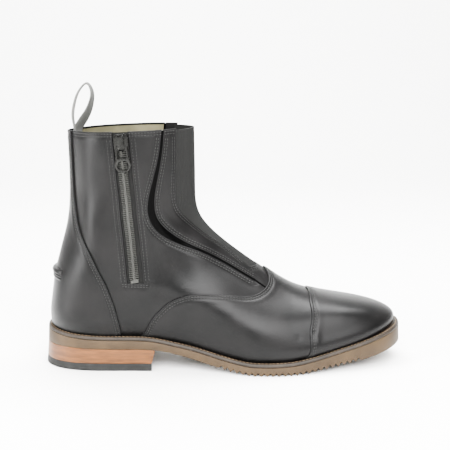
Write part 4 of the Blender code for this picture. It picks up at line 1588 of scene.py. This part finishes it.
@dataclass
class Zip:
    """The zip: tape, teeth, slider and pull."""

    last: Last
    seams: Seams
    top: tuple[float, float] = (66.7 * MM, 191 * MM)
    foot: tuple[float, float] = (76.4 * MM, 73 * MM)
    tooth_pitch: float = 1.5 * MM
    tooth_thick: float = 0.95 * MM
    tooth_reach: float = 3.7 * MM
    tooth_lap: float = 1.0 * MM
    tooth_edge: float = 0.2 * MM
    tooth_low: float = -0.25 * MM
    tooth_high: float = 0.9 * MM
    chain_aside: float = -0.5 * MM
    slider_start: float = 1 * MM
    slider_length: float = 13 * MM
    slider_width: float = 11 * MM
    slider_low: float = 0.1 * MM
    slider_high: float = 2 * MM
    bridge_width: float = 4.6 * MM
    bridge_bar: float = 1.2 * MM
    bridge_room: float = 2.5 * MM
    bridge_inset: float = 0.2 * MM
    hinge_room: float = 1.35 * MM
    slider_corner: float = 2.6 * MM
    slider_edge: float = 0.55 * MM
    bridge_edge: float = 0.35 * MM
    pull_edge: float = 0.3 * MM
    pull_bar: float = 1.3 * MM
    pull_length: float = 20 * MM
    pull_width: float = 12.4 * MM
    pull_neck: float = 10 * MM
    pull_crossbar: float = 9 * MM
    pull_rail: float = 1.7 * MM
    eye_rim: float = 2.1 * MM
    tape_span: tuple[float, float] = (-1.6 * MM, -0.7 * MM)
    tape_tuck: float = 2.5 * MM
    stop_width: float = 6.4 * MM
    stop_length: float = 2.6 * MM

    def placing(self) -> Matrix:
        """Find the slider's own frame.

        Returns:
            Its matrix: x down the zip, y across, z outwards.
        """
        top, foot = np.array(self.top), np.array(self.foot)
        down = (foot - top) / np.linalg.norm(foot - top)
        near = top + down * self.slider_start
        far = near + down * self.slider_length
        lift = self.last.seat_gap
        phi, v = self.last.locate(np.array([near[0], far[0]]), np.array([near[1] + lift, far[1] + lift]))
        origin, beyond = (Vector(point) for point in self.last.face(phi, v))
        x_axis = (beyond - origin).normalized()
        z_axis = (Vector((0, -1, 0)) + x_axis * x_axis.y).normalized()
        turn = Matrix((x_axis, z_axis.cross(x_axis), z_axis)).transposed().to_4x4()
        return Matrix.Translation(origin - Vector((self.last.shift, 0, 0))) @ turn

    def tape(self) -> None:
        """The woven tape behind the slot."""
        lines = self.seams
        v = levels(self.last, lines.zip_foot - 0.02, 0.999, 60)
        left, right = lines.zip_left.beside(-self.tape_tuck), lines.zip_right.beside(self.tape_tuck)
        phi = between(left, right, v, 26, Grade.NONE)
        piece = Panel(self.last, "zip_tape_cloth", Finish.TAPE, "zip_tape", *self.tape_span)
        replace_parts(piece.build(phi, spread(v, phi)), "zip_tape")

    def teeth(self) -> None:
        """Two rows of teeth that hook into each other along the middle, and the stop at the foot."""
        bm = bmesh.new()
        tall = self.tooth_high - self.tooth_low
        line = self.seams.zip.beside(self.chain_aside)
        frames = line.frames(self.tooth_pitch / 2, self.tooth_low + tall / 2)
        skip = int((self.slider_start + self.slider_length - 2 * MM) / (self.tooth_pitch / 2))
        size = Matrix.Diagonal((self.tooth_thick, self.tooth_reach + self.tooth_lap, tall, 1))
        for k, place in enumerate(frames[skip:-3]):
            side = 1 if k % 2 else -1
            aside = Matrix.Translation((0, side * (self.tooth_reach - self.tooth_lap) / 2, 0))
            bmesh.ops.create_cube(bm, size=1.0, matrix=place @ aside @ size)
        stop = Matrix.Diagonal((self.stop_length, self.stop_width, tall + 0.2 * MM, 1))
        bmesh.ops.create_cube(bm, size=1.0, matrix=frames[-2] @ stop)
        bmesh.ops.bevel(
            bm, geom=list(bm.edges), offset=self.tooth_edge, segments=1, profile=0.5, affect="EDGES",
            material=-1,
        )
        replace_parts(dress(settle("zip_teeth", bm, 30), Finish.TEETH), "zip_chain")

    def plate(
        self, bm: bmesh.types.BMesh, outlines: list, low: float, high: float, placing: Matrix, soft: float
    ) -> None:
        """Add a flat plate with holes and softened edges.

        Args:
            bm: mesh to add to.
            outlines: closed outlines of (a, b), the outer one first.
            low: height of its underside.
            high: height of its face.
            placing: the plate's frame.
            soft: radius of its edges.
        """
        part = bmesh.new()
        edges = []
        for outline in outlines:
            ring = [part.verts.new((a, b, low)) for a, b in outline]
            edges += [part.edges.new((ring[k - 1], ring[k])) for k in range(len(ring))]
        bmesh.ops.triangle_fill(part, use_beauty=True, edges=edges)
        made = bmesh.ops.extrude_face_region(part, geom=list(part.faces))["geom"]
        for item in made:
            if isinstance(item, bmesh.types.BMVert):
                item.co.z = high
        bmesh.ops.recalc_face_normals(part, faces=part.faces)
        crisp = [edge for edge in part.edges if edge.is_manifold and edge.calc_face_angle(0) > 1.2]
        bmesh.ops.bevel(
            part, geom=crisp, offset=soft, segments=3, profile=0.5, affect="EDGES", material=-1,
            clamp_overlap=True,
        )
        bmesh.ops.transform(part, matrix=placing, verts=part.verts)
        join(bm, part)

    def rounded(self, start: float, end: float, width: float, corner: float, steps: int = 5) -> list:
        """Draw a rectangle with rounded corners.

        Args:
            start: its smaller a.
            end: its larger a.
            width: its size along b.
            corner: radius of its corners.
            steps: steps round a corner.

        Returns:
            The outline's points (a, b).
        """
        outline = []
        for a, b, first in (
            (end, width / 2, 0), (start, width / 2, 90), (start, -width / 2, 180), (end, -width / 2, 270)
        ):
            centre_a = a - math.copysign(corner, a - (start + end) / 2)
            centre_b = b - math.copysign(corner, b)
            for k in range(steps + 1):
                turn = math.radians(first + 90 * k / steps)
                outline.append((centre_a + corner * math.cos(turn), centre_b + corner * math.sin(turn)))
        return outline

    def slider(self) -> None:
        """The slider's body and the bridge that holds the pull."""
        placing = self.placing()
        bm = bmesh.new()
        body = self.rounded(0, self.slider_length, self.slider_width, self.slider_corner)
        self.plate(bm, [body], self.slider_low, self.slider_high, placing, self.slider_edge)
        crown = self.slider_high + self.bridge_room + self.bridge_bar
        foot, slope, chamfer = self.slider_high - 0.5 * MM, 1.4 * MM, 0.6 * MM
        under = self.slider_high + self.bridge_room
        start, end = 0.6 * MM, self.slider_length - self.bridge_inset
        bar = self.bridge_bar
        arch = [
            (start, foot), (start, crown - slope), (start + slope, crown), (end - slope, crown),
            (end, crown - slope), (end, foot), (end - bar, foot), (end - bar, under - chamfer),
            (end - bar - chamfer, under), (start + bar + chamfer, under), (start + bar, under - chamfer),
            (start + bar, foot),
        ]
        upright = placing @ Matrix(((1, 0, 0, 0), (0, 0, 1, 0), (0, 1, 0, 0), (0, 0, 0, 1)))
        self.plate(bm, [arch], -self.bridge_width / 2, self.bridge_width / 2, upright, self.bridge_edge)
        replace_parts(dress(settle("zip_slider_body", bm, 40), Finish.METAL), "zip_slider")

    def pull(self) -> None:
        """The pull: a neck with a window, then a rounded end with an eye."""
        start = self.slider_length - self.bridge_inset - self.bridge_bar - self.hinge_room
        hinge = Matrix.Translation((start, 0, self.slider_high + self.bridge_room / 2))
        half = self.pull_bar / 2
        neck_end = self.pull_crossbar + 1 * MM
        radius = self.pull_width / 2
        centre = self.pull_length - half - radius
        neck = self.pull_neck / 2
        corner, edge, waist = 0.8 * MM, 0.15 * MM, neck_end - 2 * MM
        outline = [(-half, neck - corner), (-half, -neck + corner), (edge, -neck), (waist, -neck)]
        for turn in np.radians(np.linspace(-105, 105, 25)):
            outline.append((centre + radius * math.cos(turn), radius * math.sin(turn)))
        outline += [(waist, neck), (edge, neck)]
        window = self.rounded(half, self.pull_crossbar - half, self.pull_neck - 2 * self.pull_rail, corner, 4)
        hole = radius - self.eye_rim
        eye = [
            (centre + 0.8 * MM + hole * math.cos(turn), hole * math.sin(turn))
            for turn in np.linspace(0, 2 * math.pi, 28, endpoint=False)
        ]
        bm = bmesh.new()
        self.plate(bm, [outline, window, eye], -half, half, self.placing() @ hinge, self.pull_edge)
        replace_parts(dress(settle("zip_pull_tab", bm, 40), Finish.METAL, PULL_BODY), "zip_pull")

    def build(self) -> None:
        """Build the zip."""
        self.tape()
        self.teeth()
        self.slider()
        self.pull()


@dataclass
class Board:
    """One level of the sole: its plan is the rim, moved out by a distance."""

    last: Last
    rows: np.ndarray
    low: tuple[float, Callable, float]
    high: tuple[float, Callable, float]
    hollow: float = 0.0
    cuts: int = 0
    roll: float = 0.5 * MM
    bulge: float = 0.0
    near: tuple[float, ...] = (0, 0.12, 0.3, 0.5, 0.8, 1.3, 2.2, 4.0, 7.0)

    def plan(self, out: float) -> tuple[np.ndarray, ...]:
        """The rim's two sides.

        Args:
            out: distance beyond the welt's edge.

        Returns:
            x of the outer side, its y, x of the inner side and its y, each rising in x.
        """
        phi = math.pi * (1 - np.cos(np.linspace(0, math.pi, 1500))) / 2
        sides = []
        for side in (1, -1):
            rim = self.last.rim(side * phi, out)
            x = np.maximum.accumulate(rim[:, 0])
            keep = np.r_[True, np.diff(x) > 1e-9]
            sides += [x[keep], rim[keep, 1]]
        return tuple(sides)

    def face(self, out: float, height: Callable, end: float, turned: int) -> np.ndarray:
        """Points of the underside or the top, rows by columns.

        Args:
            out: distance beyond the welt's edge.
            height: height over x.
            end: x where the board is cut off.
            turned: 1 for the underside, -1 for the top.

        Returns:
            The points, x measured from the heel's back.
        """
        outer_x, outer_y, inner_x, inner_y = self.plan(out)
        inset = 0.02 * MM
        begin = max(outer_x[0], inner_x[0]) + inset
        stop = min(end, outer_x[-1] - inset, inner_x[-1] - inset)
        first, final, ease = self.rows[0], self.rows[-1], 8 * MM
        inner = [first + ease, final - ease]
        here = np.interp(self.rows, [first, *inner, final], [begin, *inner, stop])
        a, b = np.interp(here, outer_x, outer_y), np.interp(here, inner_x, inner_y)
        width = b - a
        steps = np.array(self.near) * MM
        steps = steps[None] * np.minimum(1, 0.42 * width / steps[-1])[:, None]
        middle = np.linspace(0, 1, 7)[1:-1]
        inside = (a + steps[:, -1])[:, None] + (width - 2 * steps[:, -1])[:, None] * middle
        y = np.concatenate([a[:, None] + steps, inside, b[:, None] - steps[:, ::-1]], 1)
        across = (y - a[:, None]) / width[:, None]
        ahead = ((here - begin) / (stop - begin))[:, None]
        x = here[:, None] - self.hollow * (1 - (2 * across - 1) ** 2) * ahead**2
        away = np.minimum(np.minimum(y - a[:, None], b[:, None] - y), (here - begin)[:, None] + 0.05 * MM)
        away = np.clip(np.minimum(away, (stop - here)[:, None]) / self.roll, 0, 1)
        z = height(x) + turned * self.roll * (1 - np.sqrt(np.clip(1 - (1 - away) ** 2, 0, 1)))
        return np.stack([x, y, z], -1)

    def make(self) -> tuple[bmesh.types.BMesh, np.ndarray, np.ndarray]:
        """Make the board.

        Returns:
            Its mesh, its points in the frame of the solids, and each vertex's row, column and height.
        """
        bm, index = slab(len(self.rows), 2 * len(self.near) + 5, None, self.cuts)
        i, j, t = index[:, 0].astype(int), index[:, 1].astype(int), index[:, 2]
        bottom, top = self.face(*self.low, 1)[i, j], self.face(*self.high, -1)[i, j]
        points = bottom + (top - bottom) * t[:, None]
        side = np.where(j > len(self.near) + 2, 1, -1)
        points[:, 1] += side * self.bulge * 4 * t * (1 - t)
        points[:, 0] -= self.last.shift
        return bm, points, index


@dataclass
class Sole:
    """Welt, outsole with its teeth, stacked heel and top lift."""

    last: Last
    sole_flare: float = 1 * MM
    heel_flare: float = 1.5 * MM
    top_lift: float = 6 * MM
    gap: float = 0.15 * MM
    breast_hollow: float = 3 * MM
    breast_slope: float = 1.6 * MM
    tooth_pitch: float = 4.8 * MM
    tooth_depth: float = 2.8 * MM
    tooth_land: float = 0.4 * MM
    tooth_row: float = 0.3 * MM
    row_room: float = 0.8 * MM
    tread_start: float = 0.478
    tread_end: float = 0.874
    notch_pitch: float = 1.7 * MM
    notch_depth: float = 0.7 * MM
    welt_row: float = 1.7 * MM

    def sole_top(self, x: np.ndarray) -> np.ndarray:
        """Height at which the welt lies on the outsole."""
        return self.last.feather(x) - self.last.welt_thickness

    def tread(self, x: np.ndarray) -> np.ndarray:
        """Find the height of the outsole's underside with its teeth.

        Args:
            x: distances from the heel's back.

        Returns:
            Heights above the floor.
        """
        start, end = self.tread_start * self.last.length, self.tread_end * self.last.length
        count = round((end - start) / self.tooth_pitch)
        place = np.clip((x - start) / self.tooth_pitch, 0, count)
        part = np.where(place >= count, 0, place % 1) * self.tooth_pitch
        half = (self.tooth_pitch - self.tooth_land) / 2
        cut = self.tooth_depth * (1 - np.abs(part - self.tooth_land - half) / half)
        return self.last.underside(x) + np.where(part > self.tooth_land, cut, 0)

    def rows(self, end: float, count: int = 150) -> np.ndarray:
        """Places of a board's rows from the heel's back, close at both ends."""
        return end * (1 - np.cos(np.linspace(0, math.pi, count))) / 2

    def outsole(self) -> None:
        """The rubber outsole: smooth shank and toe, saw teeth between."""
        start = self.tread_start * self.last.length
        count = round((self.tread_end - self.tread_start) * self.last.length / self.tooth_pitch)
        half = (self.tooth_pitch - self.tooth_land) / 2
        teeth = []
        for k in range(count + 1):
            tip = start + k * self.tooth_pitch
            for place in (0, self.tooth_land, self.tooth_land + half):
                teeth += [tip + place - self.tooth_row, tip + place, tip + place + self.tooth_row]
        teeth = np.array(teeth[:-3])
        smooth = self.rows(self.last.length)
        apart = np.abs(smooth[:, None] - teeth).min(1) > self.row_room
        x = np.unique(np.r_[smooth[apart], teeth])
        board = Board(
            self.last, x, (self.sole_flare, self.tread, 1.0), (self.sole_flare / 2, self.sole_top, 1.0),
            roll=0.3 * MM,
        )
        bm, points, _ = board.make()
        put(bm, points)
        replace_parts(dress(settle("outsole_rubber", bm, 35), Finish.SOLE), "outsole")

    def welt(self) -> None:
        """The welt: a board with a rounded, dressed edge and a row of stitches on top."""

        def under(x: np.ndarray) -> np.ndarray:
            """Just above the outsole."""
            return self.sole_top(x) + self.gap

        board = Board(
            self.last, self.rows(self.last.length), (self.sole_flare / 2, under, 1.0),
            (0.0, self.last.feather, 1.0), cuts=3, roll=0.7 * MM, bulge=0.25 * MM,
        )
        bm, points, _ = board.make()
        put(bm, points)
        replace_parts(dress(settle("welt_strip", bm), Finish.WELT), "welt")
        thread = Stitching(
            "welt_stitches", Finish.WELT_THREAD, "welt",
            pitch=3.0 * MM, length=2.4 * MM, width=0.7 * MM, height=0.5 * MM,
        )
        for side in (1, -1):
            rim = self.last.rim(side * np.linspace(0.0, math.pi, 900), -self.welt_row)
            rim[:, 2] = self.last.feather(rim[:, 0]) + 0.05 * MM
            rim[:, 0] -= self.last.shift
            thread.places += frames_along(rim, rim + (0, 0, 1 * MM), thread.pitch)
        thread.build()

    def heel(self) -> None:
        """The heel stack and the rubber top lift, whose lower edge is finely notched."""
        foot_out = self.sole_flare + self.heel_flare
        lift_out = foot_out - self.heel_flare * self.top_lift / self.last.heel_height
        length = self.last.heel_length
        cut = length - self.breast_slope / 2

        def level(z: float) -> Callable:
            """A height that is the same everywhere."""
            return lambda x: np.full_like(x, z)

        def stack_top(x: np.ndarray) -> np.ndarray:
            """Just under the outsole."""
            return self.last.underside(x) - self.gap

        x = np.unique(np.r_[self.rows(length)[:75], np.linspace(length / 2, length, 60)])
        board = Board(
            self.last, x, (lift_out, level(self.top_lift + self.gap), cut),
            (self.sole_flare, stack_top, length + self.breast_slope), self.breast_hollow,
            cuts=7, roll=0.3 * MM,
        )
        bm, points, _ = board.make()
        put(bm, points)
        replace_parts(dress(settle("heel_block", bm, 40), Finish.STACK), "heel_stack")

        fine = np.arange(6 * MM, length, self.notch_pitch / 4)
        x = np.unique(np.round(np.r_[self.rows(length)[:25], fine, length], 7))
        board = Board(
            self.last, x, (foot_out, level(0.0), cut), (lift_out, level(self.top_lift), cut),
            self.breast_hollow, cuts=5, roll=0.3 * MM,
        )
        bm, points, index = board.make()
        close = 4
        rim = (index[:, 1] <= close) | (index[:, 1] >= index[:, 1].max() - close)
        notch = np.sin(points[:, 0] * 2 * math.pi / self.notch_pitch) > 0
        points[:, 2] += np.where(rim & notch & (index[:, 2] < 0.05), self.notch_depth, 0)
        put(bm, points)
        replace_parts(dress(settle("top_lift_rubber", bm, 35), Finish.LIFT), "top_lift")

    def insole(self) -> None:
        """The insole's solid has the right shape and takes the lining's finish."""
        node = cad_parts["insole"]
        node.data.materials.clear()
        node.data.materials.append(material_of(Finish.LINING))

    def build(self) -> None:
        """Build the sole."""
        self.outsole()
        self.welt()
        self.heel()
        self.insole()


@dataclass
class Studio:
    """Floor, soft light and the camera at the photograph's angle."""

    camera_place: tuple[float, float, float] = (0.0834, -0.7873, 0.2635)
    camera_pitch: float = 0.1898
    camera_yaw: float = 0.025
    lens: float = 78.7
    look: str = "AgX - Medium High Contrast"
    aim: tuple[float, float, float] = (0.09, 0.0, 0.1)
    sky: float = 0.45
    # Name, place and sides in metres, and watts of each light.
    lights: tuple = (
        ("key_softbox", (0.25, -1.25, 1.12), (1.9, 1.15), 140),
        ("top_softbox", (0.2, 0.35, 1.6), (1.7, 0.85), 125),
        ("side_strip", (-1.2, -0.5, 0.5), (0.5, 1.2), 42),
    )
    paper: str = "#f4f4f3"
    fibre: float = 3 * MM
    floor_size: float = 12.0
    bend_start: float = 1.0
    bend_radius: float = 0.6

    def light(self, name: str, place: tuple, size: tuple, power: float) -> None:
        """Add a soft rectangular light that faces the boot.

        Args:
            name: its name.
            place: where it hangs, in metres.
            size: its sides.
            power: its strength in watts.
        """
        lamp = bpy.data.lights.new(name, "AREA")
        lamp.shape = "RECTANGLE"
        lamp.size, lamp.size_y = size
        lamp.energy = power
        holder = bpy.data.objects.new(name, lamp)
        holder.location = place
        towards = Vector(self.aim) - Vector(place)
        holder.rotation_euler = towards.to_track_quat("-Z", "Y").to_euler()
        bpy.context.scene.collection.objects.link(holder)

    def floor(self) -> None:
        """A sheet of white paper under the boot, which curves up far behind it."""
        bm = bmesh.new()
        bmesh.ops.create_grid(bm, x_segments=1, y_segments=120, size=self.floor_size / 2)
        bmesh.ops.translate(bm, vec=(0, self.bend_start + 2 - self.floor_size / 2, 0), verts=bm.verts)
        for vert in bm.verts:
            beyond = max(vert.co.y - self.bend_start, 0)
            turn = min(beyond / self.bend_radius, math.pi / 2)
            vert.co.y += self.bend_radius * math.sin(turn) - beyond
            vert.co.z = self.bend_radius * (1 - math.cos(turn)) + beyond - turn * self.bend_radius
        floor = settle("floor", bm)
        graph = Graph("white_paper")
        place = graph.add("TexCoord").outputs["Object"]
        fibre = graph.add(
            "TexNoise", sockets={"Vector": place, "Scale": 1 / self.fibre, "Detail": 2.0}
        ).outputs["Fac"]
        tooth = graph.add("Bump", sockets={"Height": fibre, "Distance": 0.02 * MM}).outputs[0]
        floor.data.materials.append(
            graph.finish({"Base Color": linear(self.paper), "Roughness": 0.9, "Normal": tooth})
        )

    def build(self) -> None:
        """Build the studio."""
        self.floor()
        world = bpy.data.worlds.new("soft_room")
        world.use_nodes = True
        background = world.node_tree.nodes["Background"]
        background.inputs["Color"].default_value = (1, 1, 1, 1)
        background.inputs["Strength"].default_value = self.sky
        bpy.context.scene.world = world
        bpy.context.scene.view_settings.look = self.look
        for lamp in self.lights:
            self.light(*lamp)
        camera = bpy.data.cameras.new("camera")
        camera.lens = self.lens
        camera.sensor_width = 36
        holder = bpy.data.objects.new("camera", camera)
        holder.location = self.camera_place
        holder.rotation_euler = (math.pi / 2 - self.camera_pitch, 0, -self.camera_yaw)
        bpy.context.scene.collection.objects.link(holder)
        bpy.context.scene.camera = holder


def main() -> None:
    """Build the boot's looks."""
    logging.basicConfig(level=logging.INFO, format="%(name)s: %(message)s")
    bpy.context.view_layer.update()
    last = Last(folds=FOLDS)
    seams = Seams(last)
    for part in (Upper(last, seams), Heel(last), Zip(last, seams), Sole(last), Studio()):
        part.build()


if __name__ == "__main__":
    main()
